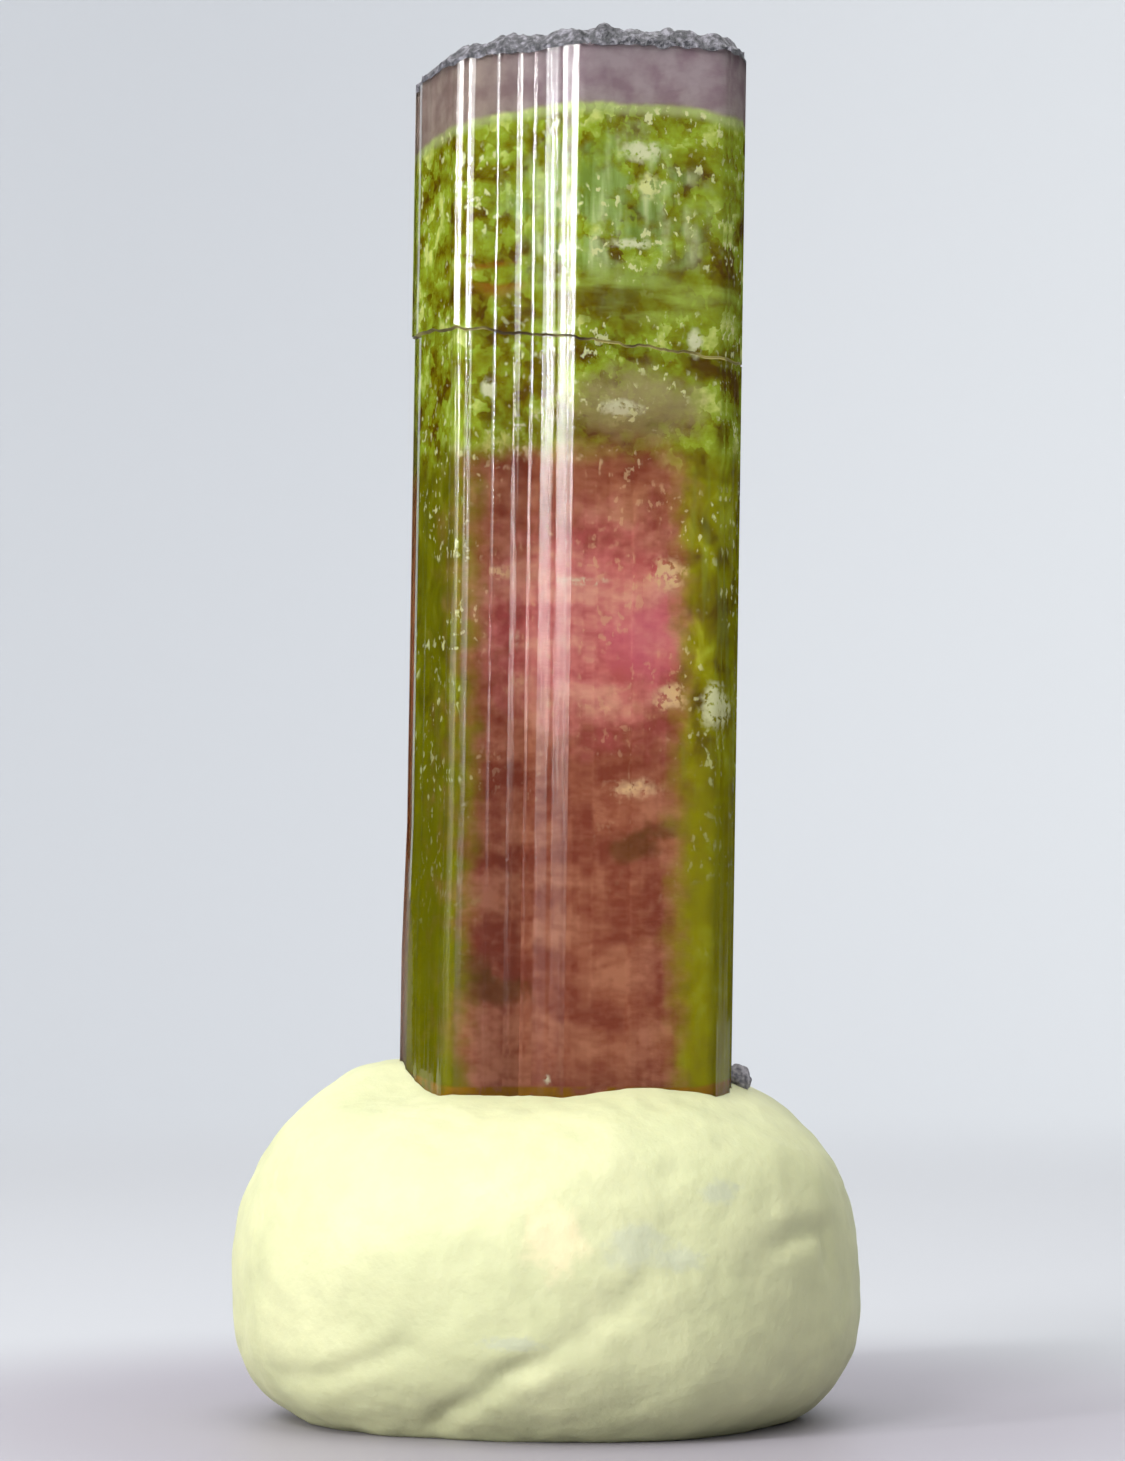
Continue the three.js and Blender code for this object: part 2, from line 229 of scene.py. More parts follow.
@dataclass(frozen=True)
class Shader:
    """A material under construction, with short ways to add the nodes that the finishes use."""

    material: bpy.types.Material

    @classmethod
    def new(cls, name: str) -> Shader:
        """Start a material that holds one Principled BSDF.

        Args:
            name: The material's name.

        Returns:
            The shader.
        """
        material = bpy.data.materials.new(name)
        material.use_nodes = True
        return cls(material)

    @property
    def surface(self) -> bpy.types.Node:
        """The material's Principled BSDF."""
        return self.material.node_tree.nodes["Principled BSDF"]

    @property
    def output(self) -> bpy.types.Node:
        """The material's output node."""
        return self.material.node_tree.nodes["Material Output"]

    def add(self, kind: str, **settings: object) -> bpy.types.Node:
        """Add a node and set its properties.

        Args:
            kind: The node's type name.
            **settings: Properties of the node.

        Returns:
            The node.
        """
        node = self.material.node_tree.nodes.new(kind)
        for key, value in settings.items():
            setattr(node, key, value)
        return node

    def join(self, source: Socket, target: Socket) -> None:
        """Link two sockets."""
        self.material.node_tree.links.new(source, target)

    def paint(self, colour: Socket) -> None:
        """Give the surface its colour."""
        self.join(colour, self.surface.inputs["Base Color"])

    def set(self, **values: object) -> None:
        """Set plain values on the Principled BSDF; an underscore in a key stands for a space."""
        for key, value in values.items():
            self.surface.inputs[key.replace("_", " ")].default_value = value

    def place(self, stretch: Point = (1.0, 1.0, 1.0), shift: Point = (0.0, 0.0, 0.0)) -> Socket:
        """The piece's own coordinates in millimetres, stretched and shifted.

        Args:
            stretch: Factor along each axis; below 1 draws a pattern out along that axis.
            shift: Millimetres added along each axis.

        Returns:
            The vector's socket.
        """
        where = self.add("ShaderNodeTexCoord")
        mapping = self.add("ShaderNodeMapping")
        mapping.inputs["Scale"].default_value = tuple(s / MM for s in stretch)
        mapping.inputs["Location"].default_value = shift
        self.join(where.outputs["Object"], mapping.inputs["Vector"])
        return mapping.outputs["Vector"]

    def axis(self, name: str) -> Socket:
        """One of the piece's own coordinates, X, Y or Z, in millimetres.

        Args:
            name: X, Y or Z.

        Returns:
            The coordinate.
        """
        split = self.add("ShaderNodeSeparateXYZ")
        self.join(self.place(), split.inputs["Vector"])
        return split.outputs[name]

    def cloud(self, pattern: Pattern) -> Socket:
        """A pattern's noise, from 0 to 1.

        Args:
            pattern: The pattern.

        Returns:
            Its value.
        """
        texture = self.add("ShaderNodeTexNoise")
        texture.inputs["Scale"].default_value = 1.0 / pattern.size
        texture.inputs["Detail"].default_value = pattern.detail
        texture.inputs["Distortion"].default_value = pattern.swirl
        self.join(self.place(pattern.stretch, pattern.shift), texture.inputs["Vector"])
        return texture.outputs["Fac"]

    def cells(self, pattern: Pattern) -> Socket:
        """Ragged blocks of a pattern's size, each with a tone of its own.

        Args:
            pattern: The pattern, of which the size, stretch and shift count.

        Returns:
            The tone, from 0 to 1.
        """
        size = pattern.size
        swirl = self.add("ShaderNodeTexNoise")
        swirl.inputs["Scale"].default_value = 2.0 / size
        where = self.place(pattern.stretch, pattern.shift)
        self.join(where, swirl.inputs["Vector"])
        moved = self.add("ShaderNodeVectorMath", operation="MULTIPLY_ADD")
        self.join(swirl.outputs["Color"], moved.inputs[0])
        moved.inputs[1].default_value = (size, size, size)
        self.join(where, moved.inputs[2])
        blocks = self.add("ShaderNodeTexVoronoi")
        blocks.inputs["Scale"].default_value = 1.0 / size
        self.join(moved.outputs["Vector"], blocks.inputs["Vector"])
        tone = self.add("ShaderNodeSeparateColor")
        self.join(blocks.outputs["Color"], tone.inputs["Color"])
        return tone.outputs["Red"]

    def spot(self, spot: Spot, fray: Socket | None = None) -> Socket:
        """Where a spot is.

        Args:
            spot: The spot.
            fray: Noise for its edge, or None for noise that suits its size.

        Returns:
            1 in its middle and 0 outside.
        """
        full, fray_size = 0.35, 0.6
        noisy = fray or self.cloud(Pattern(fray_size * min(spot.reach)))
        shift = tuple(-a / r for a, r in zip(spot.at, spot.reach))
        away = self.add("ShaderNodeVectorMath", operation="LENGTH")
        self.join(self.place(tuple(1 / r for r in spot.reach), shift), away.inputs[0])
        frayed = self.math("MULTIPLY_ADD", noisy, 2 * spot.ragged, away.outputs["Value"])
        return self.step(frayed, 1.0 + spot.ragged, full + spot.ragged)

    def ramp(self, value: Socket, stops: Stops) -> Socket:
        """A colour ramp over a value.

        Args:
            value: What drives the ramp, from 0 to 1.
            stops: Positions and linear colours, in rising order.

        Returns:
            The colour.
        """
        node = self.add("ShaderNodeValToRGB")
        elements = node.color_ramp.elements
        while len(elements) < len(stops):
            elements.new(0.5)
        for element, (position, colour) in zip(elements, stops):
            element.position = position
            element.color = (*colour, 1.0)
        self.join(value, node.inputs["Fac"])
        return node.outputs["Color"]

    def step(self, value: Socket, low: float, high: float) -> Socket:
        """A smooth step of a value, from 0 at low to 1 at high; low may be the larger.

        Args:
            value: What is stepped.
            low: Where it is 0.
            high: Where it is 1.

        Returns:
            The step, from 0 to 1.
        """
        node = self.add("ShaderNodeMapRange", interpolation_type="SMOOTHSTEP")
        flip = low > high
        node.inputs["From Min"].default_value = min(low, high)
        node.inputs["From Max"].default_value = max(low, high)
        node.inputs["To Min"].default_value = 1.0 if flip else 0.0
        node.inputs["To Max"].default_value = 0.0 if flip else 1.0
        self.join(value, node.inputs["Value"])
        return node.outputs["Result"]

    def math(self, operation: str, *operands: Socket | float) -> Socket:
        """A Math node over sockets and plain numbers.

        Args:
            operation: The node's operation, such as ADD.
            *operands: Sockets or numbers, in order.

        Returns:
            The result.
        """
        node = self.add("ShaderNodeMath", operation=operation)
        for socket, operand in zip(node.inputs, operands):
            if isinstance(operand, Socket):
                self.join(operand, socket)
            else:
                socket.default_value = operand
        return node.outputs["Value"]

    def blend(self, values: Sequence[Socket], shares: Sequence[float]) -> Socket:
        """The sum of several values, each times its share.

        Args:
            values: The values.
            shares: One share for each of them.

        Returns:
            The sum.
        """
        total = self.math("MULTIPLY", values[0], shares[0])
        for value, share in zip(values[1:], shares[1:]):
            total = self.math("ADD", total, self.math("MULTIPLY", value, share))
        return total

    def mix(self, share: Socket, under: Socket | Colour, over: Socket | Colour) -> Socket:
        """Lay one colour over another.

        Args:
            share: How much of the upper colour shows.
            under: The lower colour.
            over: The upper colour.

        Returns:
            The mixed colour.
        """
        node = self.add("ShaderNodeMix", data_type="RGBA")
        kinds = {"Factor": "VALUE", "A": "RGBA", "B": "RGBA"}
        values = {"Factor": share, "A": under, "B": over}
        for socket in node.inputs:
            if kinds.get(socket.name) != socket.type:
                continue
            value = values[socket.name]
            if isinstance(value, Socket):
                self.join(value, socket)
            else:
                socket.default_value = (*value, 1.0)
        return next(socket for socket in node.outputs if socket.type == "RGBA")

    def wash(self, where: Socket, share: Socket | float, under: Socket, over: Socket | Colour) -> Socket:
        """Lay a thin colour over another.

        Args:
            where: 1 where it lies and 0 elsewhere.
            share: How much of it shows there.
            under: The lower colour.
            over: The upper colour.

        Returns:
            The mixed colour.
        """
        return self.mix(self.math("MULTIPLY", where, share), under, over)

    def dab(
        self, colour: Socket, spots: Sequence[Spot], fray: Socket | None = None, limit: Socket | None = None
    ) -> Socket:
        """Lay spots over a colour.

        Args:
            colour: The colour under them.
            spots: The spots, in order.
            fray: Noise for their edges, or None for noise that suits each one's size.
            limit: How much of them shows, or None for each one's own share.

        Returns:
            The colour with the spots.
        """
        for spot in spots:
            colour = self.wash(self.spot(spot, fray), limit or spot.share, colour, spot.tone)
        return colour

    def bump(self, height: Socket, depth: float, strength: float = 1.0) -> None:
        """Raise the surface by a height pattern.

        Args:
            height: The pattern, from 0 to 1.
            depth: Its full height in millimetres.
            strength: Share of it that shows.
        """
        node = self.add("ShaderNodeBump")
        node.inputs["Strength"].default_value = strength
        node.inputs["Distance"].default_value = depth * MM
        self.join(height, node.inputs["Height"])
        self.join(node.outputs["Normal"], self.surface.inputs["Normal"])


@dataclass(frozen=True)
class Zones:
    """Where the crystal's colours change, shared by its skin and its inside."""

    core_x: float = 0.6
    core_lean: float = 0.0157
    core_half_width: float = 3.7
    core_half_depth: float = 4.8
    core_edge: Span = (1.15, 1.45)
    core_fray: Pattern = Pattern(0.9, 4.0)
    core_fray_depth: float = 0.4
    cap_crest_x: float = 2.0
    cap_crest: float = 1.05
    cap_fall: float = 0.021
    cap_fray: Pattern = Pattern(1.2)
    cap_fray_depth: float = 0.5

    def outside_core(self, shader: Shader) -> Socket:
        """Where the green rind starts outside the pink core.

        Args:
            shader: The shader that it is drawn in.

        Returns:
            0 in the core and 1 in the rind.
        """
        along = shader.math("MULTIPLY_ADD", shader.axis("Z"), -self.core_lean, shader.axis("X"))
        across = shader.math("DIVIDE", shader.math("SUBTRACT", along, self.core_x), self.core_half_width)
        deep = shader.math("DIVIDE", shader.axis("Y"), self.core_half_depth)
        squares = [shader.math("MULTIPLY", side, side) for side in (across, deep)]
        out = shader.math("SQRT", shader.math("ADD", *squares))
        frayed = shader.math("MULTIPLY_ADD", shader.cloud(self.core_fray), self.core_fray_depth, out)
        return shader.step(frayed, *self.core_edge)

    def above_cap_base(self, shader: Shader) -> Socket:
        """Millimetres above the domed boundary between the green zone and the mauve cap.

        Args:
            shader: The shader that it is drawn in.

        Returns:
            The distance, below 0 in the green.
        """
        aside = shader.math("SUBTRACT", shader.axis("X"), self.cap_crest_x)
        dome = shader.math("MULTIPLY", shader.math("MULTIPLY", aside, aside), self.cap_fall)
        height = shader.math("ADD", shader.axis("Z"), dome)
        raised = shader.math("MULTIPLY_ADD", shader.cloud(self.cap_fray), self.cap_fray_depth, height)
        return shader.math("SUBTRACT", raised, Level.CAP_BASE.value + self.cap_crest)


@dataclass(frozen=True)
class GemFinish:
    """The clear, striated skin of the crystal: mauve at the cap and green below it."""

    zones: Zones = Zones()
    ior: float = 1.63
    reflected: Colour = (0.16, 0.16, 0.16)
    cap_tint: Colour = (0.98, 0.94, 0.95)
    green_tint: Colour = (0.98, 0.99, 0.70)
    rind_tint: Colour = (0.97, 0.99, 0.60)
    pink_tint: Colour = (1.0, 0.96, 0.88)
    absorbed: Colour = (0.93, 0.90, 0.68)
    absorption_per_mm: float = 0.36
    cap_edge: Span = (0.1, -0.1)
    pink_edge: Span = (Level.PINK_TOP.value + 1.5, Level.PINK_TOP.value - 0.5)
    growth_lines: Pattern = Pattern(0.14, 2.0, (1.0, 1.0, 0.012))
    growth_line_height: float = 0.008
    growth_line_strength: float = 0.5
    dull_lines: Span = (0.48, 0.60)
    polish: float = 0.03
    dullness: float = 0.17
    frost_tint: Colour = (0.90, 0.89, 0.92)
    frost_roughness: float = 0.6
    sliver_edge_x: float = -4.72
    sliver_width: float = 0.45
    sliver_fray: Pattern = Pattern(0.5)
    sliver_fray_width: float = 0.16
    sliver_rise: Span = (Level.SLIVER_TOP.value + 4.0, Level.SLIVER_FOOT.value - 1.0)
    sliver_edge: Span = (-0.03, 0.05)

    def make(self) -> bpy.types.Material:
        """Draw the skin.

        Returns:
            The finished material.
        """
        gem = Shader.new("clear_tourmaline")
        gem.set(IOR=self.ior, Transmission_Weight=1.0, Specular_Tint=(*self.reflected, 1.0))
        below_cap = gem.step(self.zones.above_cap_base(gem), *self.cap_edge)
        low = gem.step(gem.axis("Z"), *self.pink_edge)
        below = gem.mix(self.zones.outside_core(gem), self.pink_tint, self.rind_tint)
        tint = gem.mix(below_cap, self.cap_tint, gem.mix(low, self.green_tint, below))
        lines = gem.cloud(self.growth_lines)
        frost = self.sliver(gem)
        gem.paint(gem.mix(frost, tint, self.frost_tint))
        polish = gem.math("MULTIPLY_ADD", gem.step(lines, *self.dull_lines), self.dullness, self.polish)
        frosted = gem.math("MULTIPLY", frost, self.frost_roughness)
        gem.join(gem.math("MAXIMUM", polish, frosted), gem.surface.inputs["Roughness"])
        gem.bump(lines, self.growth_line_height, self.growth_line_strength)
        inside = gem.add("ShaderNodeVolumeAbsorption")
        inside.inputs["Color"].default_value = (*self.absorbed, 1.0)
        inside.inputs["Density"].default_value = self.absorption_per_mm / MM
        gem.join(inside.outputs["Volume"], gem.output.inputs["Volume"])
        return gem.material

    def sliver(self, gem: Shader) -> Socket:
        """The frosted sliver of another face down the lower left edge.

        Args:
            gem: The shader that it is drawn in.

        Returns:
            1 on the sliver and 0 elsewhere.
        """
        widening = gem.step(gem.axis("Z"), *self.sliver_rise)
        fray = gem.math("MULTIPLY", gem.cloud(self.sliver_fray), self.sliver_fray_width)
        edge = gem.math("MULTIPLY_ADD", widening, self.sliver_width, fray)
        inner = gem.math("SUBTRACT", gem.math("ADD", edge, self.sliver_edge_x), gem.axis("X"))
        return gem.math("MULTIPLY", widening, gem.step(inner, *self.sliver_edge))


@dataclass(frozen=True)
class GrainFinish:
    """A rough skin of one mottled tone, such as the etched end, the crack's stain or the crumb."""

    name: str
    mottle: Pattern
    tones: Stops
    roughness: float
    ior: float = 1.5
    grain: Pattern | None = None
    grain_height: float = 0.1

    def make(self) -> bpy.types.Material:
        """Draw the skin.

        Returns:
            The finished material.
        """
        skin = Shader.new(self.name)
        skin.paint(skin.ramp(skin.cloud(self.mottle), self.tones))
        skin.set(Roughness=self.roughness, IOR=self.ior)
        if self.grain:
            skin.bump(skin.cloud(self.grain), self.grain_height)
        return skin.material


class Grain(Enum):
    """The rough skins of the crystal."""

    ETCHED_END = GrainFinish(
        "etched_end",
        Pattern(0.2, 5.0),
        ((0.36, (0.008, 0.008, 0.012)), (0.5, (0.055, 0.052, 0.062)), (0.66, (0.22, 0.21, 0.24))),
        roughness=0.36,
        ior=1.63,
        grain=Pattern(0.11, 4.0),
    )
    CRACK = GrainFinish(
        "stained_crack", Pattern(1.4), ((0.4, (0.05, 0.03, 0.004)), (0.60, (0.30, 0.26, 0.08))), roughness=0.6
    )
    CRUMB = GrainFinish(
        "grey_matrix", Pattern(0.16), ((0.35, (0.09, 0.085, 0.10)), (0.7, (0.34, 0.32, 0.34))), roughness=0.7
    )


class Flash(Enum):
    """Colours of the painted glints where healed cracks inside the crystal catch the light."""

    WHITE = (1.0, 1.0, 0.96)
    YELLOW = (1.0, 1.0, 0.66)
    ORANGE = (1.0, 0.76, 0.58)


def glint(x: float, z: float, half_width: float, half_height: float, flash: Flash) -> Spot:
    """A painted glint where a healed crack catches the light at the front.

    Args:
        x: Its place across the front, in millimetres.
        z: Its height.
        half_width: Half its width.
        half_height: Half its height.
        flash: Its colour.

    Returns:
        The spot, grown a little for its frayed edge.
    """
    front_y, depth, grown = -3.6, 1.8, 1.4
    return Spot((x, front_y, z), (grown * half_width, depth, grown * half_height), flash.value, ragged=0.5)


@dataclass(frozen=True)
class HeartFinish:
    """The hazy colour zones inside the crystal: pink below, green above, mauve under the cap."""

    zones: Zones = Zones()
    fray: Pattern = Pattern(0.7, shift=(7.0, 2.0, 4.0))
    waver: Pattern = Pattern(2.0, 4.0)
    waver_height: float = 2.4
    pink_edge: Span = (Level.PINK_TOP.value + 0.6, Level.PINK_TOP.value + 1.9)
    cap_edge: Span = (-0.1, 0.1)
    pale_edge_foot: Span = (-0.45, -0.15)
    pale_edge_top: Span = (0.15, 0.0)
    pale_edge: Colour = (0.80, 0.92, 0.62)
    pale_edge_share: float = 0.5
    rust: Colour = (0.46, 0.22, 0.01)
    rust_middle_x: float = 0.85
    rust_sides: Span = (3.6, 5.4)
    rust_side_lift: float = 0.42
    rust_edge: Span = (Level.PUTTY_LINE.value + 0.04, Level.PUTTY_LINE.value - 0.06)
    rust_breaks: Pattern = Pattern(0.6, 2.0)
    rust_break_edge: Span = (0.3, 0.55)
    roughness: float = 0.4
    ior: float = 1.25
    clearness: float = 0.08
    facets: Pattern = Pattern(0.5, 3.0, (0.6, 0.6, 1.3))
    facet_height: float = 0.14
    facet_strength: float = 0.5
    # painted glints of light off healed cracks: small ones all round, then the large ones at the front
    glint_specks: Pattern = Pattern(0.21, 2.0, (1.0, 1.0, 0.7))
    grain_and_glint_edge: Span = (0.59, 0.67)
    crowds: Pattern = Pattern(1.5, 2.0, shift=(6.0, 1.0, 8.0))
    crowd_edge: Span = (0.45, 0.57)
    glint_top: Span = (0.0, -0.2)
    glint_rise: Span = (12.0, 27.0)
    grain_and_glint_tone: Colour = (1.0, 1.0, 0.78)
    grain_and_glint_share: float = 0.95
    glint_loss_in_pink: float = 0.55
    pinkish_edge: Span = (Level.PINK_TOP.value + 1.0, Level.PINK_TOP.value - 1.0)
    glint_flecks: Pattern = Pattern(0.2)
    glint_fleck_edge: Span = (0.37, 0.50)
    glint_fray: Pattern = Pattern(0.3, 2.0, shift=(7.0, 2.0, 4.0))
    front_glints: tuple[Spot, ...] = (
        glint(-3.5, 39.0, 0.50, 0.35, Flash.YELLOW),
        glint(3.15, 38.2, 0.30, 0.40, Flash.YELLOW),
        glint(2.9, 39.3, 0.60, 0.30, Flash.WHITE),
        glint(2.6, 36.4, 0.60, 0.16, Flash.WHITE),
        glint(-1.8, 32.0, 0.22, 0.34, Flash.WHITE),
        glint(4.6, 33.4, 0.22, 0.40, Flash.WHITE),
        glint(2.3, 31.3, 0.60, 0.26, Flash.WHITE),
        glint(-1.4, 26.3, 0.40, 0.24, Flash.ORANGE),
        glint(1.2, 26.0, 0.70, 0.14, Flash.WHITE),
        glint(3.7, 26.2, 0.55, 0.50, Flash.ORANGE),
        glint(-0.9, 24.2, 0.14, 0.34, Flash.WHITE),
        glint(3.7, 22.4, 0.50, 0.40, Flash.ORANGE),
        glint(5.15, 22.1, 0.40, 0.60, Flash.WHITE),
        glint(2.6, 19.6, 0.80, 0.34, Flash.ORANGE),
        glint(0.27, 10.6, 0.13, 0.16, Flash.WHITE),
    )
    # the olive rind
    rind: Pattern = Pattern(0.8, 4.0, (1.0, 1.0, 0.7), (3.0, 5.0, 2.0), 0.5)
    rind_tones: Stops = (
        (0.34, (0.15, 0.09, 0.0)),
        (0.44, (0.28, 0.24, 0.0)),
        (0.56, (0.40, 0.39, 0.0)),
        (0.70, (0.62, 0.68, 0.06)),
    )
    rind_streaks: Pattern = Pattern(0.35, 3.0, (1.0, 1.0, 0.1), (1.0, 8.0, 3.0))
    rind_streak_edge: Span = (0.54, 0.70)
    rind_streak_tone: Colour = (0.32, 0.38, 0.08)
    rind_streak_share: float = 0.4
    calm_rind: Colour = (0.37, 0.34, 0.0)
    calm_share: float = 0.75
    calm_rise: Span = (23.0, 17.0)
    left_rind: Colour = (0.17, 0.17, 0.0)
    left_share: float = 0.7
    left_edge: Span = (-0.5, -2.5)
    # the pink zone
    pink_layers: Pattern = Pattern(1.3, 4.0, (0.7, 0.7, 1.1), swirl=0.2)
    pink_streaks: Pattern = Pattern(0.3, 2.0, (1.0, 1.0, 0.06))
    pink_grain: Pattern = Pattern(0.3, 2.0, (0.7, 0.7, 1.1), (5.0, 1.0, 1.0))
    pink_shares: tuple[float, float, float] = (0.6, 0.15, 0.25)
    # rose paints the pink as lit by light shining through it; brown is the same pink without that glow
    rose: Stops = ((0.40, (0.68, 0.16, 0.22)), (0.5, (0.84, 0.29, 0.36)), (0.61, (1.0, 0.54, 0.56)))
    brown: Stops = ((0.40, (0.33, 0.08, 0.06)), (0.5, (0.47, 0.16, 0.12)), (0.61, (0.64, 0.28, 0.22)))
    front_painted_glow: Spot = Spot((1.6, -3.0, 24.6), (4.6, 4.5, 4.6))
    back_painted_glow: Spot = Spot((1.0, 3.0, 24.6), (4.6, 4.5, 5.6))
    pink_spots: tuple[Spot, ...] = (
        # the magenta patch, then two dark smudges of two spots each
        Spot((3.2, -2.6, 24.2), (2.0, 3.0, 1.7), (0.88, 0.20, 0.44), 0.5),
        Spot((-3.0, -3.0, 14.0), (1.7, 3.0, 0.60), (0.14, 0.07, 0.01), 0.6, 0.7),
        Spot((-1.6, -3.0, 13.3), (1.7, 3.0, 0.66), (0.14, 0.07, 0.01), 0.6, 0.7),
        Spot((2.7, -3.0, 17.8), (1.4, 3.0, 0.60), (0.14, 0.07, 0.01), 0.6, 0.7),
        Spot((4.0, -3.0, 18.3), (1.4, 3.0, 0.50), (0.14, 0.07, 0.01), 0.6, 0.7),
    )
    # the green zone
    green_clouds: Pattern = Pattern(1.3, 4.0, (0.8, 0.8, 1.1), (9.0, 3.0, 0.0), 0.5)
    green_grain: Pattern = Pattern(0.35, 3.0, shift=(4.0, 4.0, 4.0))
    green_cells: Pattern = Pattern(0.45, stretch=(1.0, 1.0, 0.8))
    green_shares: tuple[float, float, float] = (0.6, 0.25, 0.15)
    green_tones: Stops = (
        (0.36, (0.14, 0.07, 0.0)),
        (0.42, (0.24, 0.20, 0.0)),
        (0.50, (0.35, 0.40, 0.02)),
        (0.57, (0.46, 0.60, 0.06)),
        (0.66, (0.92, 0.98, 0.42)),
    )
    front_mint: Spot = Spot((1.7, -3.0, 37.4), (4.0, 4.0, 3.6), ragged=0.6)
    back_mint: Spot = Spot((-1.0, 3.0, 36.0), (3.0, 3.0, 3.4), ragged=0.5)
    mint_streaks: Pattern = Pattern(0.5, 3.0, (1.0, 1.0, 0.12))
    mint_tones: Stops = ((0.38, (0.24, 0.36, 0.08)), (0.5, (0.46, 0.64, 0.28)), (0.64, (0.90, 1.0, 0.75)))
    mint_breaks: Pattern = Pattern(0.9, 3.0, shift=(2.0, 2.0, 5.0))
    mint_break_edge: Span = (0.36, 0.56)
    mint_share: float = 0.85
    green_layers: Pattern = Pattern(0.5, 3.0, (0.18, 0.18, 1.0))
    rusty: Spot = Spot((-1.6, -3.0, 35.6), (1.5, 3.0, 0.9), (0.40, 0.14, 0.01), 0.85, 0.6)
    rusty_edge: Span = (0.4, 0.54)
    banded: Spot = Spot((2.6, -3.0, 34.8), (4.4, 4.4, 1.3), share=0.6)
    band_tones: Stops = ((0.42, (0.21, 0.15, 0.0)), (0.58, (0.56, 0.70, 0.20)))
    green_spots: tuple[Spot, ...] = (
        # the dark blue-grey fleck, then the beige haze over the pink
        Spot((-2.9, -3.9, 35.1), (0.42, 1.5, 0.6), (0.06, 0.09, 0.10), 0.8, 0.4),
        Spot((2.6, -3.0, 31.4), (3.0, 3.4, 1.5), (0.60, 0.50, 0.36), 0.7, 0.5),
    )
    # the mauve cap
    cap_mottle: Pattern = Pattern(0.7, 4.0, shift=(2.0, 7.0, 1.0))
    mauve_tones: Stops = ((0.35, (0.38, 0.28, 0.32)), (0.65, (0.54, 0.46, 0.49)))
    brown_mauve_tones: Stops = ((0.35, (0.35, 0.26, 0.24)), (0.65, (0.52, 0.43, 0.38)))
    brown_mauve_edge: Span = (0.6, -2.4)

    def make(self) -> bpy.types.Material:
        """Draw the zones.

        Returns:
            The finished material.
        """
        heart = Shader.new("colour_heart")
        waver = heart.math("MULTIPLY_ADD", heart.cloud(self.waver), self.waver_height, heart.axis("Z"))
        above_pink = heart.step(waver, *self.pink_edge)
        over_base = self.zones.above_cap_base(heart)
        foot, top = heart.step(over_base, *self.pale_edge_foot), heart.step(over_base, *self.pale_edge_top)
        rind = self.zones.outside_core(heart)
        fray = heart.cloud(self.fray)
        colour = heart.mix(rind, self.pink(heart, fray), self.olive(heart))
        colour = heart.mix(above_pink, colour, self.green(heart, fray))
        colour = heart.wash(heart.math("MULTIPLY", foot, top), self.pale_edge_share, colour, self.pale_edge)
        colour = heart.mix(heart.step(over_base, *self.cap_edge), colour, self.mauve(heart))
        colour = heart.mix(self.rust_line(heart), colour, self.rust)
        heart.paint(self.glints(heart, colour, rind, over_base))
        heart.set(Roughness=self.roughness, IOR=self.ior)
        heart.set(Specular_IOR_Level=0.0, Transmission_Weight=self.clearness)
        heart.bump(heart.cloud(self.facets), self.facet_height, self.facet_strength)
        return heart.material

    def glints(self, heart: Shader, colour: Socket, rind: Socket, over_base: Socket) -> Socket:
        """Painted glints of light off healed cracks: small ones all round, then the large ones at the front.

        Args:
            heart: The shader that they are drawn in.
            colour: The colour under them.
            rind: 1 outside the pink core.
            over_base: Millimetres above the foot of the mauve cap.

        Returns:
            The colour with the painted glints.
        """
        glint_specks = heart.step(heart.cloud(self.glint_specks), *self.grain_and_glint_edge)
        crowds = heart.step(heart.cloud(self.crowds), *self.crowd_edge)
        low = heart.step(heart.axis("Z"), *self.pinkish_edge)
        pinkish = heart.math("MULTIPLY", low, heart.math("SUBTRACT", 1.0, rind))
        strength = heart.math("MULTIPLY_ADD", pinkish, -self.glint_loss_in_pink, self.grain_and_glint_share)
        for limit in (
            heart.step(over_base, *self.glint_top),
            heart.step(heart.axis("Z"), *self.glint_rise),
            glint_specks,
            crowds,
        ):
            strength = heart.math("MULTIPLY", strength, limit)
        # small painted glints: pale yellow in the green and orange in the pink
        colour = heart.mix(strength, colour, heart.mix(pinkish, self.grain_and_glint_tone, Flash.ORANGE.value))
        # the large painted glints at the front, broken into flecks
        glint_flecks = heart.step(heart.cloud(self.glint_flecks), *self.glint_fleck_edge)
        return heart.dab(colour, self.front_glints, heart.cloud(self.glint_fray), glint_flecks)

    def rust_line(self, heart: Shader) -> Socket:
        """The rusty line where the crystal stands in the putty.

        Args:
            heart: The shader that it is drawn in.

        Returns:
            1 in the putty and 0 above it.
        """
        aside = heart.math("ABSOLUTE", heart.math("SUBTRACT", heart.axis("X"), self.rust_middle_x))
        lift = heart.math("MULTIPLY", heart.step(aside, *self.rust_sides), self.rust_side_lift)
        within = heart.step(heart.math("SUBTRACT", heart.axis("Z"), lift), *self.rust_edge)
        breaks = heart.step(heart.cloud(self.rust_breaks), *self.rust_break_edge)
        return heart.math("MULTIPLY", within, breaks)

    def olive(self, heart: Shader) -> Socket:
        """The olive rind in the corners: streaky above, calm towards the foot, darker at the left.

        Args:
            heart: The shader that it is drawn in.

        Returns:
            The colour.
        """
        colour = heart.ramp(heart.cloud(self.rind), self.rind_tones)
        streaks = heart.step(heart.cloud(self.rind_streaks), *self.rind_streak_edge)
        colour = heart.wash(streaks, self.rind_streak_share, colour, self.rind_streak_tone)
        calm = heart.step(heart.axis("Z"), *self.calm_rise)
        colour = heart.wash(calm, self.calm_share, colour, self.calm_rind)
        left = heart.step(heart.axis("X"), *self.left_edge)
        return heart.wash(left, self.left_share, colour, self.left_rind)

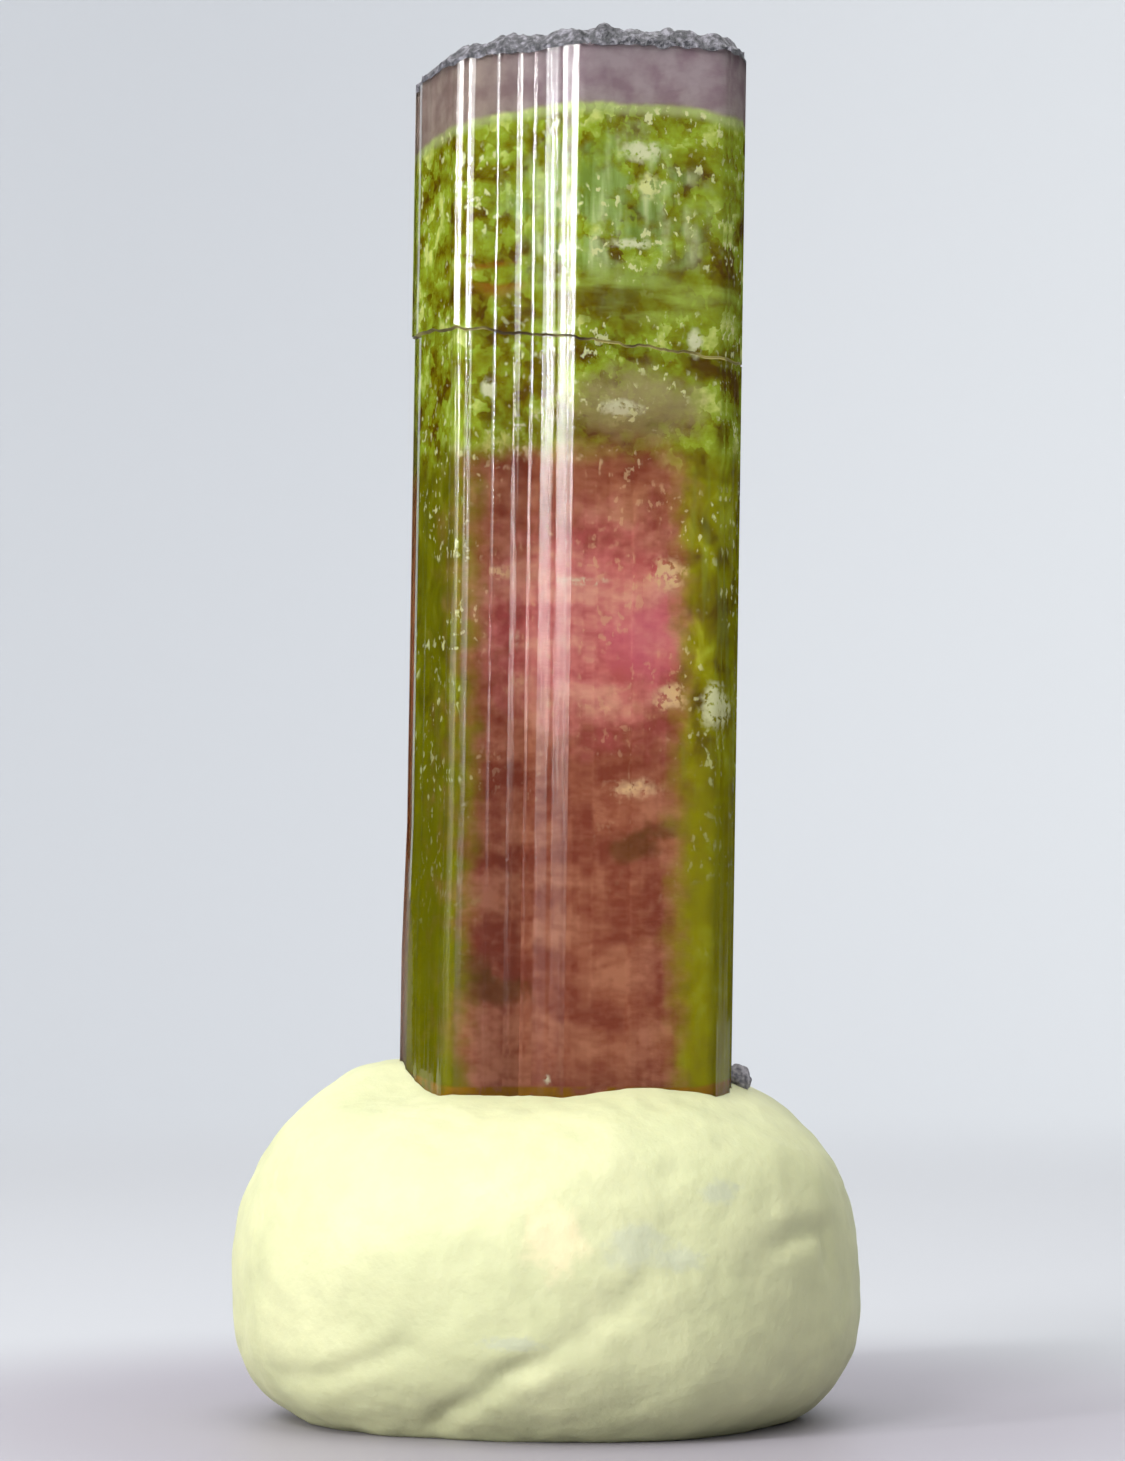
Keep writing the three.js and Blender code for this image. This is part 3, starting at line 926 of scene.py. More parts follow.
    def pink(self, heart: Shader, fray: Socket) -> Socket:
        """The pink zone: brown near its top and duller towards the foot, with a painted glow of light shining
        through that makes it rose in the middle.

        Args:
            heart: The shader that it is drawn in.
            fray: Noise for the edges of its patches.

        Returns:
            The colour.
        """
        patterns = (self.pink_layers, self.pink_streaks, self.pink_grain)
        bands = heart.blend([heart.cloud(pattern) for pattern in patterns], self.pink_shares)
        # painted glow of light shining through the middle of the pink
        front, back = heart.spot(self.front_painted_glow, fray), heart.spot(self.back_painted_glow, fray)
        glow = heart.math("MAXIMUM", front, back)
        colour = heart.mix(glow, heart.ramp(bands, self.brown), heart.ramp(bands, self.rose))
        return heart.dab(colour, self.pink_spots, fray)

    def green(self, heart: Shader, fray: Socket) -> Socket:
        """The green zone, mottled olive, yellow-green, mint and brown.

        Args:
            heart: The shader that it is drawn in.
            fray: Noise for the edges of its patches.

        Returns:
            The colour.
        """
        clouds, grain = heart.cloud(self.green_clouds), heart.cloud(self.green_grain)
        mottle = heart.blend([clouds, grain, heart.cells(self.green_cells)], self.green_shares)
        colour = heart.ramp(mottle, self.green_tones)
        front, back = heart.spot(self.front_mint, fray), heart.spot(self.back_mint, fray)
        breaks = heart.step(heart.cloud(self.mint_breaks), *self.mint_break_edge)
        mint = heart.math("MULTIPLY", heart.math("MAXIMUM", front, back), breaks)
        pale = heart.ramp(heart.cloud(self.mint_streaks), self.mint_tones)
        colour = heart.wash(mint, self.mint_share, colour, pale)
        layers = heart.cloud(self.green_layers)
        rusty = heart.math("MULTIPLY", heart.spot(self.rusty, fray), heart.step(layers, *self.rusty_edge))
        colour = heart.wash(rusty, self.rusty.share, colour, self.rusty.tone)
        bands = heart.ramp(layers, self.band_tones)
        colour = heart.wash(heart.spot(self.banded, fray), self.banded.share, colour, bands)
        return heart.dab(colour, self.green_spots, fray)

    def mauve(self, heart: Shader) -> Socket:
        """The mauve cap, browner to the left.

        Args:
            heart: The shader that it is drawn in.

        Returns:
            The colour.
        """
        mottle = heart.cloud(self.cap_mottle)
        left = heart.step(heart.axis("X"), *self.brown_mauve_edge)
        mauve, brown = heart.ramp(mottle, self.mauve_tones), heart.ramp(mottle, self.brown_mauve_tones)
        return heart.mix(left, mauve, brown)


@dataclass(frozen=True)
class PuttyFinish:
    """Pale, slightly waxy putty with grey patches on its front."""

    mottle: Pattern = Pattern(5.0, swirl=0.6)
    tones: Stops = ((0.35, (0.52, 0.535, 0.30)), (0.65, (0.60, 0.605, 0.35)))
    grain: Pattern = Pattern(0.7, 4.0)
    grain_and_glint_edge: Span = (0.7, 0.3)
    grain_and_glint_tone: Colour = (0.45, 0.45, 0.27)
    grain_and_glint_share: float = 0.22
    spots: tuple[Spot, ...] = (
        # four grey patches, then a warm patch
        Spot((2.6, -8.6, 5.9), (1.3, 2.0, 0.9), (0.40, 0.43, 0.37), 0.4, 0.6),
        Spot((3.9, -8.2, 5.5), (1.0, 2.0, 0.5), (0.40, 0.43, 0.37), 0.4, 0.6),
        Spot((5.2, -7.4, 7.4), (0.8, 2.0, 0.5), (0.40, 0.43, 0.37), 0.4, 0.6),
        Spot((-1.0, -8.9, 3.1), (1.2, 2.0, 0.3), (0.40, 0.43, 0.37), 0.4, 0.6),
        Spot((0.2, -8.6, 6.1), (1.2, 2.0, 1.3), (0.90, 0.72, 0.46), 0.45, 0.6),
    )
    roughness: float = 0.62
    ior: float = 1.45
    waxiness: float = 0.15
    wax_scale: float = 0.0008
    wax_radius: Colour = (1.0, 0.8, 0.5)
    skin: Pattern = Pattern(0.8, 6.0)
    skin_height: float = 0.13
    skin_strength: float = 0.6

    def make(self) -> bpy.types.Material:
        """Draw the putty.

        Returns:
            The finished material.
        """
        putty = Shader.new("cream_putty")
        colour = putty.ramp(putty.cloud(self.mottle), self.tones)
        grain = putty.step(putty.cloud(self.grain), *self.grain_and_glint_edge)
        colour = putty.wash(grain, self.grain_and_glint_share, colour, self.grain_and_glint_tone)
        putty.paint(putty.dab(colour, self.spots))
        putty.set(Roughness=self.roughness, IOR=self.ior, Subsurface_Weight=self.waxiness)
        putty.set(Subsurface_Scale=self.wax_scale, Subsurface_Radius=self.wax_radius)
        putty.bump(putty.cloud(self.skin), self.skin_height, self.skin_strength)
        return putty.material


@dataclass
class Outline:
    """The prism's outline across its own axis, as in the part's solid, with finer lines added."""

    front_y: float = -4.4
    steps_start_x: float = -3.81
    steps: tuple[tuple[float, float, float, float], ...] = (
        # widths of the riser and of the tread behind it in millimetres, then their slopes in degrees
        (0.2, 0.16, 27.0, 6.0),
        (0.2, 0.67, 27.0, 6.0),
        (0.1, 0.55, 28.9, 6.0),
        (0.2, 0.31, 29.0, 6.0),
        (0.1, 0.27, 28.8, 6.0),
        (0.36, 0.17, 27.0, 24.5),
        (0.47, 0.0, 27.0, 6.0),
    )
    corners: tuple[Span, ...] = (
        (4.62, -3.8),
        (5.07, -2.95),
        (5.12, -1.0),
        (4.25, 1.75),
        (2.35, 4.3),
        (-0.55, 4.72),
        (-3.2, 3.65),
        (-5.22, 0.75),
        (-4.98, -0.8),
    )
    rib_width: float = 0.34
    rib_height: float = 0.07
    faint_rib_height: float = 0.02
    rib_spacing: float = 1.05
    rib_wander: float = 0.22
    rib_profile: tuple[Span, ...] = ((-0.5, 0.0), (-0.2, 1.0), (0.2, 1.0), (0.5, 0.0))
    fine_spacing: float = 0.07
    fine_height: float = 0.0025
    fine_lines: tuple[Ripple, ...] = (Ripple(1.0, 5.1, (0.0, 3.7, 0.0)), Ripple(0.7, 13.0, (0.0, 0.0, 8.2)))

    def front_flight(self) -> list[Vector]:
        """The stepped stretch of the front, from its left end to its foremost line.

        Returns:
            The stretch's points, from left to right.
        """
        flights = []
        for riser, tread, riser_degrees, tread_degrees in self.steps:
            flights.append((riser, riser * math.tan(math.radians(riser_degrees))))
            if tread > 0:
                flights.append((tread, tread * math.tan(math.radians(tread_degrees))))
        x, y = self.steps_start_x, self.front_y + sum(drop for _, drop in flights)
        points = [Vector((x, y))]
        for width, drop in flights:
            x, y = x + width, y - drop
            points.append(Vector((x, y)))
        return points

    def ribbed_face(self, start: Vector, end: Vector, first: int, rib_height: float) -> list[Vector]:
        """One flat face with raised ribs and sunk grooves, without its end point.

        Args:
            start: Where the face starts.
            end: Where it ends.
            first: Number of its first rib, which sets the ribs' places.
            rib_height: How far the ribs stand out.

        Returns:
            The face's points.
        """
        along = (end - start).normalized()
        length = (end - start).length
        outward = Vector((along.y, -along.x))
        points = [start.copy()]
        count = int(length / self.rib_spacing)
        for k in range(count):
            middle = length * (k + 0.5 + self.rib_wander * math.sin(7 * (first + k))) / count
            height = rib_height * (-1 if (first + k) % 3 == 1 else 1)
            for offset, raised in self.rib_profile:
                place = start + along * (middle + offset * self.rib_width)
                points.append(place + outward * (raised * height))
        return points

    def main_points(self) -> list[Vector]:
        """The outline's main points, anticlockwise seen from above.

        Returns:
            The points.
        """
        front = self.front_flight()
        foremost = front.pop()
        corners = [foremost, *(Vector(c) for c in self.corners), front[0]]
        sides: list[Vector] = []
        last = len(corners) - 2
        for k in range(last + 1):
            rib_height = self.faint_rib_height if k in (0, last) else self.rib_height
            sides += self.ribbed_face(corners[k], corners[k + 1], 3 * k, rib_height)
        return front + sides

    def fine_points(self) -> list[Vector]:
        """The main points with fine growth lines worked in between them.

        Returns:
            The points.
        """
        points = self.main_points()
        fine: list[Vector] = []
        walked = 0.0
        for a, b in zip(points, points[1:] + points[:1]):
            length = (b - a).length
            along = (b - a).normalized()
            outward = Vector((along.y, -along.x))
            parts = max(1, round(length / self.fine_spacing))
            for k in range(parts):
                ripple = rippled(self.fine_lines, walked + length * k / parts)
                raised = 0.0 if k == 0 else self.fine_height * ripple
                fine.append(a + (b - a) * (k / parts) + outward * raised)
            walked += length
        return fine

    def reach(self, turn: float, points: Sequence[Vector]) -> float:
        """Distance from the axis to the outline in one direction.

        Args:
            turn: The direction, in radians.
            points: The outline.

        Returns:
            The distance.
        """
        parallel, slack = 1e-12, 1e-6
        way = Vector((math.cos(turn), math.sin(turn)))
        best = 0.0
        for a, b in zip(points, points[1:] + points[:1]):
            edge = b - a
            cross = way.x * edge.y - way.y * edge.x
            if abs(cross) < parallel:
                continue
            along = (way.y * a.x - way.x * a.y) / cross
            out = (a.x * edge.y - a.y * edge.x) / cross
            if -slack <= along <= 1 + slack and out > best:
                best = out
        return best


@dataclass
class Crystal:
    """The tourmaline: its clear striated prism, what shows inside it and the crumb on its edge."""

    outline: Outline = field(default_factory=Outline)
    axis_x: float = 0.57
    lean: float = math.radians(0.9)
    flare: float = 0.008
    prism_angle: float = 14.0
    origin: Point = (-0.0086, 0.053, 0.0)
    # the rough top end
    rim_crest_x: float = 2.0
    rim_fall: float = 0.0116
    over_rim: float = 1.5
    dome: float = 0.22
    roughness: float = 0.14
    lump_sizes: Span = (0.62, 0.35)
    lump_skew: float = 0.3
    small_lump_share: float = 0.6
    end_ripples: tuple[Ripple, ...] = (Ripple(0.08, 3.4), Ripple(0.05, 8.0, (0.0, 0.0, 32.0)))
    end_half: Span = (5.9, 5.4)
    end_columns: int = 150
    end_rows: int = 140
    end_turns: int = 360
    end_block_height: float = 5.0
    broken_edge: float = 0.07
    broken_edge_drop: float = 0.4
    etched_band: float = 0.14
    band_ripples: tuple[Ripple, ...] = (Ripple(0.12, 2.2, (0.0, 0.0, 5.0)),)
    band_clearance: float = 0.02
    # the broken foot
    foot_share: float = 0.93
    foot_bevel: float = 0.45
    foot_relief: float = 0.1
    foot_lump_size: float = 1.6
    # the crack and the step in the left edge
    crack_slope: float = -0.11
    crack_ripples: tuple[Ripple, ...] = (
        Ripple(0.12, 1.6, (0.0, 0.0, 2.0)),
        Ripple(0.05, 5.0, (0.0, 0.0, 7.0)),
    )
    crack_half_gap: float = 0.045
    crack_share: float = 0.988
    left_inset: float = 0.1
    left_from: float = 2.5
    left_to: float = 4.8
    # the colour zones inside
    heart_columns: int = 168
    heart_rows: int = 110
    heart_angle: float = 60.0
    heart_foot: float = Level.FOOT.value + 0.4
    heart_top: float = Level.RIM_CREST.value + 1.0
    pink_share: float = 0.64
    green_share: float = 0.95
    cap_share: float = 0.96
    pink_edge: Span = (Level.PINK_TOP.value - 0.2, Level.PINK_TOP.value + 1.8)
    cap_edge: Span = (Level.CAP_BASE.value - 0.1, Level.CAP_BASE.value + 0.25)
    green_lobes: tuple[Span, ...] = ((-15.0, 34.0), (203.0, 30.0), (84.0, 24.0))
    lobe_fade: float = 9.0
    heart_roughness: float = 0.012
    heart_ripples: tuple[Ripple, ...] = (Ripple(1.0, 0.8), Ripple(0.5, 2.3))
    smooth_under_cap: float = 2.0
    inset_over_crack: float = 0.8
    heart_gap: float = 0.12
    # the crumb
    crumb_at: Point = (5.42, -1.5, 0.3)
    crumb_radius: float = 0.42
    crumb_ripples: tuple[Ripple, ...] = (Ripple(0.25, 3.1), Ripple(0.12, 9.0))
    crumb_angle: float = 30.0

    def stand(self, piece: Piece) -> None:
        """Lean a piece from the crystal's own axis to where it stands in the putty.

        Args:
            piece: The piece, upright on the crystal's own axis.
        """
        line = Level.PUTTY_LINE.value
        matrix = (
            Matrix.Translation(self.origin)
            @ Matrix.Translation((self.axis_x, 0, line))
            @ Matrix.Rotation(self.lean, 4, "Y")
            @ Matrix.Translation((0, 0, -line))
        )
        piece.data.transform(matrix)

    def flared(self, z: float) -> float:
        """The prism's width at a height, as a share of its width at the putty line."""
        line, crest = Level.PUTTY_LINE.value, Level.RIM_CREST.value
        return 1 + self.flare * (z - line) / (crest - line)

    def loop(
        self,
        points: Sequence[Vector],
        z: Callable[[float, float], float],
        share: float = 1.0,
        stands_in: bool = False,
    ) -> list[Point]:
        """One ring of the prism.

        Args:
            points: The outline.
            z: Height of the ring over a point.
            share: The ring's size against the outline.
            stands_in: Whether its left edge stands in.

        Returns:
            The ring's points.
        """
        ring = []
        for point in points:
            x, y = point.x * share, point.y * share
            height = z(x, y)
            ring.append((x * self.flared(height) + (self.inset(x) if stands_in else 0.0), y, height))
        return ring

    def loft(self, rings: Sequence[Sequence[Point]]) -> Piece:
        """A closed solid drawn up through rings of the same number of points.

        Args:
            rings: The rings from the foot to the top.

        Returns:
            The solid, in millimetres.
        """
        deselect_all()
        bpy.ops.mesh.primitive_circle_add(vertices=len(rings[0]), radius=1.0, fill_type="NGON")
        solid = bpy.context.object
        for vertex, place in zip(solid.data.vertices, rings[0]):
            vertex.co = place
        bpy.ops.object.mode_set(mode="EDIT")
        for ring in rings[1:]:
            bpy.ops.mesh.extrude_region_move(TRANSFORM_OT_translate={"value": (0, 0, 0.1)})
            edited = bmesh.from_edit_mesh(solid.data)
            edited.verts.ensure_lookup_table()
            for vertex, place in zip(edited.verts[-len(ring) :], ring):
                vertex.co = place
            bmesh.update_edit_mesh(solid.data)
        bpy.ops.object.mode_set(mode="OBJECT")
        return solid

    def rim_height(self, x: float) -> float:
        """Height of the rim of the top end before it is chipped."""
        return Level.RIM_CREST.value - self.rim_fall * (x - self.rim_crest_x) ** 2

    def top_height(self, x: float, y: float, share: float) -> float:
        """Height of the rough top end.

        Args:
            x: Place across the crystal's axis.
            y: Place across the crystal's axis.
            share: How far out the place is, as a share of the outline.

        Returns:
            The height.
        """
        edge = smoothstep(share, 1 - 2 * self.broken_edge, 1)
        large, small = self.lump_sizes
        rough = lumps(x + self.lump_skew * y, y, large) + self.small_lump_share * lumps(y, x, small)
        raised = self.dome * (1 - share**2) - self.broken_edge_drop * edge**2
        return self.rim_height(x) + raised + self.roughness * rough + rippled(self.end_ripples, x, y)

    def above_top(self) -> Piece:
        """Everything over the rough top end, as a block whose underside has that end's shape.

        Returns:
            The block.
        """
        points = self.outline.main_points()
        turns = self.end_turns
        reaches = [self.outline.reach(2 * math.pi * k / turns, points) for k in range(turns)]
        deselect_all()
        bpy.ops.mesh.primitive_grid_add(x_subdivisions=self.end_columns, y_subdivisions=self.end_rows, size=2)
        block = bpy.context.object
        for vertex in block.data.vertices:
            x, y = self.end_half[0] * vertex.co.x, self.end_half[1] * vertex.co.y
            k = math.atan2(y, x) / (2 * math.pi) * turns
            share = math.hypot(x, y) / reaches[int(k) % turns]
            vertex.co = (x, y, self.top_height(x, y, share))
        bpy.ops.object.mode_set(mode="EDIT")
        bpy.ops.mesh.select_all(action="SELECT")
        bpy.ops.mesh.extrude_region_move(TRANSFORM_OT_translate={"value": (0, 0, self.end_block_height)})
        bpy.ops.object.mode_set(mode="OBJECT")
        turn_outward(block)
        return block

    def crack_height(self, x: float) -> float:
        """Height of the crack that rings the prism."""
        return Level.CRACK.value + self.crack_slope * x + rippled(self.crack_ripples, x)

    def band_height(self, x: float, y: float) -> float:
        """Height at which the sides turn from clear to etched."""
        ragged = rippled(self.band_ripples, x, y)
        return self.rim_height(x) - self.broken_edge_drop - self.etched_band + ragged

    def foot_height(self, x: float, y: float) -> float:
        """Height of the broken foot."""
        return Level.FOOT.value + self.foot_relief * lumps(x, y, self.foot_lump_size)

    def prism(self) -> Piece:
        """The clear prism, with its growth lines, the crack that rings it and its rough end.

        Returns:
            The finished piece.
        """
        points = self.outline.fine_points()
        gap = self.crack_half_gap
        rings = [
            self.loop(points, self.foot_height, self.foot_share),
            self.loop(points, lambda x, y: Level.FOOT.value + self.foot_bevel),
            self.loop(points, lambda x, y: Level.PUTTY_LINE.value),
            self.loop(points, lambda x, y: Level.SLIVER_FOOT.value),
            self.loop(points, lambda x, y: Level.SLIVER_TOP.value, stands_in=True),
            self.loop(points, lambda x, y: self.crack_height(x) - gap, stands_in=True),
            self.loop(points, lambda x, y: self.crack_height(x), self.crack_share, stands_in=True),
            self.loop(points, lambda x, y: self.crack_height(x) + gap),
            self.loop(points, self.band_height),
            self.loop(points, lambda x, y: Level.RIM_CREST.value + self.over_rim),
        ]
        prism = self.loft(rings)
        turn_outward(prism)
        carve(prism, self.above_top())
        prism.data.materials.clear()
        for finish in (GemFinish(), Grain.ETCHED_END.value, Grain.CRACK.value):
            prism.data.materials.append(finish.make())
        gem, etched, crack = range(3)
        for face in prism.data.polygons:
            x, y, z = face.center
            if z > self.band_height(x, y) + self.band_clearance:
                face.material_index = etched
            elif abs(z - self.crack_height(x)) < gap:
                face.material_index = crack
            else:
                face.material_index = gem
        self.stand(prism)
        smooth_by_angle(prism, self.prism_angle)
        return to_metres(prism, "crystal_prism")

    def heart_share(self, turn: float, z: float) -> float:
        """Size of the colour zones against the outline.

        Args:
            turn: Direction from the axis, in degrees.
            z: Height.

        Returns:
            The share: the pink core stands back behind the faces, and the green fills the corners.
        """
        lobe = 0.0
        for middle, half in self.green_lobes:
            off = abs((turn - middle + 180) % 360 - 180)
            lobe = max(lobe, smoothstep(-off, -half - self.lobe_fade, -half + self.lobe_fade))
        above_pink = smoothstep(z, *self.pink_edge)
        share = self.pink_share + (self.green_share - self.pink_share) * max(lobe, above_pink)
        return share + (self.cap_share - share) * smoothstep(z, *self.cap_edge)

    def inset(self, x: float) -> float:
        """How far the left edge stands in at a place across the prism."""
        return self.left_inset * smoothstep(-x, self.left_from, self.left_to)

    def heart(self) -> Piece:
        """The hazy colour zones inside the prism.

        Returns:
            The finished piece, without its material.
        """
        columns, rows, foot = self.heart_columns, self.heart_rows, self.heart_foot
        calm = (Level.CAP_BASE.value, Level.CAP_BASE.value - self.smooth_under_cap)
        points = self.outline.main_points()
        turns = [360 * k / columns for k in range(columns)]
        reaches = [self.outline.reach(math.radians(turn), points) for turn in turns]
        rings = []
        for k in range(rows + 1):
            z = foot + (self.heart_top - foot) * k / rows
            stands_in = Level.SLIVER_FOOT.value < z < Level.CRACK.value + self.inset_over_crack
            loose = self.heart_roughness * smoothstep(z, *calm)
            ring = []
            for turn, reach in zip(turns, reaches):
                out = reach * self.heart_share(turn, z)
                x, y = out * math.cos(math.radians(turn)), out * math.sin(math.radians(turn))
                swell = 1 + loose * rippled(self.heart_ripples, x, y, z)
                ring.append((x * swell + (self.inset(x) if stands_in else 0.0), y * swell, z))
            rings.append(ring)
        heart = self.loft(rings)
        turn_outward(heart)
        above = self.above_top()
        above.data.transform(Matrix.Translation((0, 0, -self.heart_gap)))
        carve(heart, above)
        self.stand(heart)
        smooth_by_angle(heart, self.heart_angle)
        return to_metres(heart, "colour_heart")

    def crumb(self) -> Piece:
        """The crumb of grey matrix on the prism's right-hand edge.

        Returns:
            The finished piece, without its material.
        """
        deselect_all()
        bpy.ops.mesh.primitive_ico_sphere_add(subdivisions=4, radius=self.crumb_radius)
        crumb = bpy.context.object
        for vertex in crumb.data.vertices:
            vertex.co = vertex.co * (1 + rippled(self.crumb_ripples, *vertex.co))
        x, y, z = self.crumb_at
        crumb.data.transform(Matrix.Translation((x, y, Level.PUTTY_LINE.value + z)))
        self.stand(crumb)
        smooth_by_angle(crumb, self.crumb_angle)
        return to_metres(crumb, "matrix_crumb")

    def build(self) -> list[Piece]:
        """Build and dress every piece of the crystal.

        Returns:
            The pieces.
        """
        prism = self.prism()
        heart = self.heart()
        heart.data.materials.append(HeartFinish().make())
        crumb = self.crumb()
        crumb.data.materials.append(Grain.CRUMB.value.make())
        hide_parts("tourmaline_crystal")
        pieces = [prism, heart, crumb]
        for piece in pieces:
            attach(piece, BODY)
        return pieces


@dataclass(frozen=True)
class Press:
    """A soft swelling or dent in the lump."""

    at: Point
    radius: float
    height: float


@dataclass(frozen=True)
class Fold:
    """A line where one roll of putty laps another."""

    line: tuple[Point, ...]
    width: float
    depth: float


@dataclass
class PuttyLump:
    """The lump of putty that the crystal's foot is pressed into."""

    half: Span = (9.84, 9.2)
    waist_z: float = 4.2
    rise: float = 7.1
    drop: float = 5.2
    upper_power: float = 2.55
    lower_power: float = 3.0
    segments: int = 220
    rings: int = 130
    smooth_angle: float = 50.0
    socket_gap: float = 0.02
    socket_top: float = 20.0
    ripples: tuple[Ripple, ...] = (Ripple(0.12, 0.45), Ripple(0.05, 1.3))
    presses: tuple[Press, ...] = (
        Press((-1.2, -5.0, 11.3), 4.2, -0.8),
        Press((-5.8, 1.4, 10.6), 3.0, 0.5),
        Press((-4.9, -3.0, 10.9), 1.7, -0.45),
        Press((7.6, -4.6, 7.6), 2.6, 0.3),
        Press((3.6, -8.4, 6.6), 1.9, -0.3),
        Press((-4.4, -8.3, 1.4), 2.3, -0.35),
        Press((4.6, -7.9, 1.6), 3.0, 0.3),
        Press((-6.8, 5.4, 7.4), 3.2, -0.45),
        Press((2.4, 8.3, 6.2), 3.0, -0.4),
        Press((7.9, 3.9, 4.4), 2.6, 0.25),
    )
    folds: tuple[Fold, ...] = (
        Fold(((-4.4, -7.4, -0.9), (-3.3, -8.2, 0.4), (-1.1, -8.9, 2.2), (0.6, -9.2, 2.9)), 0.36, 0.22),
        Fold(((-0.4, -9.1, 2.5), (1.2, -9.2, 3.3), (2.7, -9.0, 4.7), (3.8, -8.6, 5.6)), 0.42, 0.11),
        Fold(((-8.6, -3.6, 1.6), (-6.4, -6.6, 1.9), (-3.4, -8.6, 3.2)), 0.4, 0.12),
        Fold(((6.2, -6.9, 5.2), (7.3, -5.9, 6.0), (8.4, -4.8, 6.1), (8.6, -4.6, 4.4)), 0.34, 0.2),
        Fold(((-2.6, 8.8, 1.2), (0.6, 9.0, 3.6), (4.4, 8.0, 6.2), (6.6, 5.8, 8.2)), 0.5, 0.4),
    )
    fold_fade: float = 1.5
    bank_height: float = 0.45
    bank_width: float = 2.4
    groove_depth: float = 1.35

    def onto(self, at: Point) -> Vector:
        """The point of the plain lump straight out from its middle through a place.

        Args:
            at: The place.

        Returns:
            The point.
        """
        upper = at[2] >= self.waist_z
        rise = self.rise if upper else self.drop
        power = self.upper_power if upper else self.lower_power
        across = math.hypot(at[0] / self.half[0], at[1] / self.half[1])
        up = abs(at[2] - self.waist_z) / rise
        size = (across**power + up**power) ** (-1 / power)
        return Vector((at[0] * size, at[1] * size, self.waist_z + (at[2] - self.waist_z) * size))

    def surface_point(self, way: Vector) -> Vector:
        """A point of the lump's surface.

        Args:
            way: Its direction on the unit sphere.

        Returns:
            The point.
        """
        upper = way.z >= 0
        power = 2 / (self.upper_power if upper else self.lower_power)
        across = math.hypot(way.x, way.y)
        tiny = 1e-9
        reach = across**power / max(across, tiny)
        rise = abs(way.z) ** power * (self.rise if upper else -self.drop)
        half_x, half_y = self.half
        point = Vector((way.x * reach * half_x, way.y * reach * half_y, self.waist_z + rise))
        slope = (point.x / half_x**2, point.y / half_y**2, (point.z - self.waist_z) / self.rise**2)
        raised = 0.0
        for press, middle in zip(self.presses, self.press_points):
            raised += press.height * math.exp(-(((point - middle).length / press.radius) ** 2))
        for fold, line in zip(self.folds, self.fold_lines):
            raised += self.fold_height(point, fold, line)
        return point + Vector(slope).normalized() * (raised + rippled(self.ripples, *point))

    def fold_height(self, point: Vector, fold: Fold, line: Sequence[Vector]) -> float:
        """How much a fold raises the surface at a point: low banks beside a narrow groove.

        Args:
            point: The point of the surface.
            fold: The fold.
            line: Its line on the plain lump.

        Returns:
            The height, in millimetres.
        """
        away, along, passed = math.inf, 0.0, 0.0
        for a, b in zip(line, line[1:]):
            edge = b - a
            t = min(max((point - a).dot(edge) / edge.length_squared, 0.0), 1.0)
            gap = (point - a - edge * t).length
            if gap < away:
                away, along = gap, passed + t * edge.length
            passed += edge.length
        fade = smoothstep(min(along, passed - along), 0, self.fold_fade)
        banks = self.bank_height * math.exp(-((away / (self.bank_width * fold.width)) ** 2))
        groove = self.groove_depth * math.exp(-((away / fold.width) ** 2))
        return fade * fold.depth * (banks - groove)

    def build(self, crystal: Crystal) -> Piece:
        """Build and dress the lump.

        Args:
            crystal: The crystal that is pressed into it.

        Returns:
            The lump.
        """
        self.press_points = [self.onto(press.at) for press in self.presses]
        self.fold_lines = [[self.onto(at) for at in fold.line] for fold in self.folds]
        deselect_all()
        bpy.ops.mesh.primitive_uv_sphere_add(segments=self.segments, ring_count=self.rings, radius=1.0)
        lump = bpy.context.object
        for vertex in lump.data.vertices:
            point = self.surface_point(vertex.co.normalized())
            vertex.co = (point.x, point.y, max(point.z, 0.0))
        lump.data.transform(Matrix.Translation(crystal.origin))
        carve(lump, self.socket(crystal))
        smooth_by_angle(lump, self.smooth_angle)
        to_metres(lump, "putty")
        lump.data.materials.append(PuttyFinish().make())
        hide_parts("putty_lump")
        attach(lump, BODY)
        return lump

    def socket(self, crystal: Crystal) -> Piece:
        """What the crystal presses out of the putty.

        Args:
            crystal: The crystal that is pressed into the putty.

        Returns:
            The cutter, in place.
        """
        foot = Level.FOOT.value - self.socket_gap
        points = crystal.outline.fine_points()
        grown = [p + p.normalized() * self.socket_gap for p in points]
        rings = [crystal.loop(grown, lambda x, y: foot), crystal.loop(grown, lambda x, y: self.socket_top)]
        cutter = crystal.loft(rings)
        turn_outward(cutter)
        crystal.stand(cutter)
        return cutter


@dataclass(frozen=True)
class Lamp:
    """One soft rectangular light: its middle, its width and height, its watts and where it faces."""

    name: str
    at: Point
    size: Span
    power: float
    aim: Point = (0.0, 0.0, 22.0)

    def build(self) -> Piece:
        """The light, out of the camera's sight.

        Returns:
            The light.
        """
        data = bpy.data.lights.new(self.name, "AREA")
        data.shape = "RECTANGLE"
        data.size, data.size_y = self.size[0] * MM, self.size[1] * MM
        data.energy = self.power
        light = bpy.data.objects.new(self.name, data)
        light.location = Vector(self.at) * MM
        light.visible_camera = False
        light.rotation_euler = (Vector(self.at) - Vector(self.aim)).to_track_quat("Z", "Y").to_euler()
        bpy.context.scene.collection.objects.link(light)
        return light


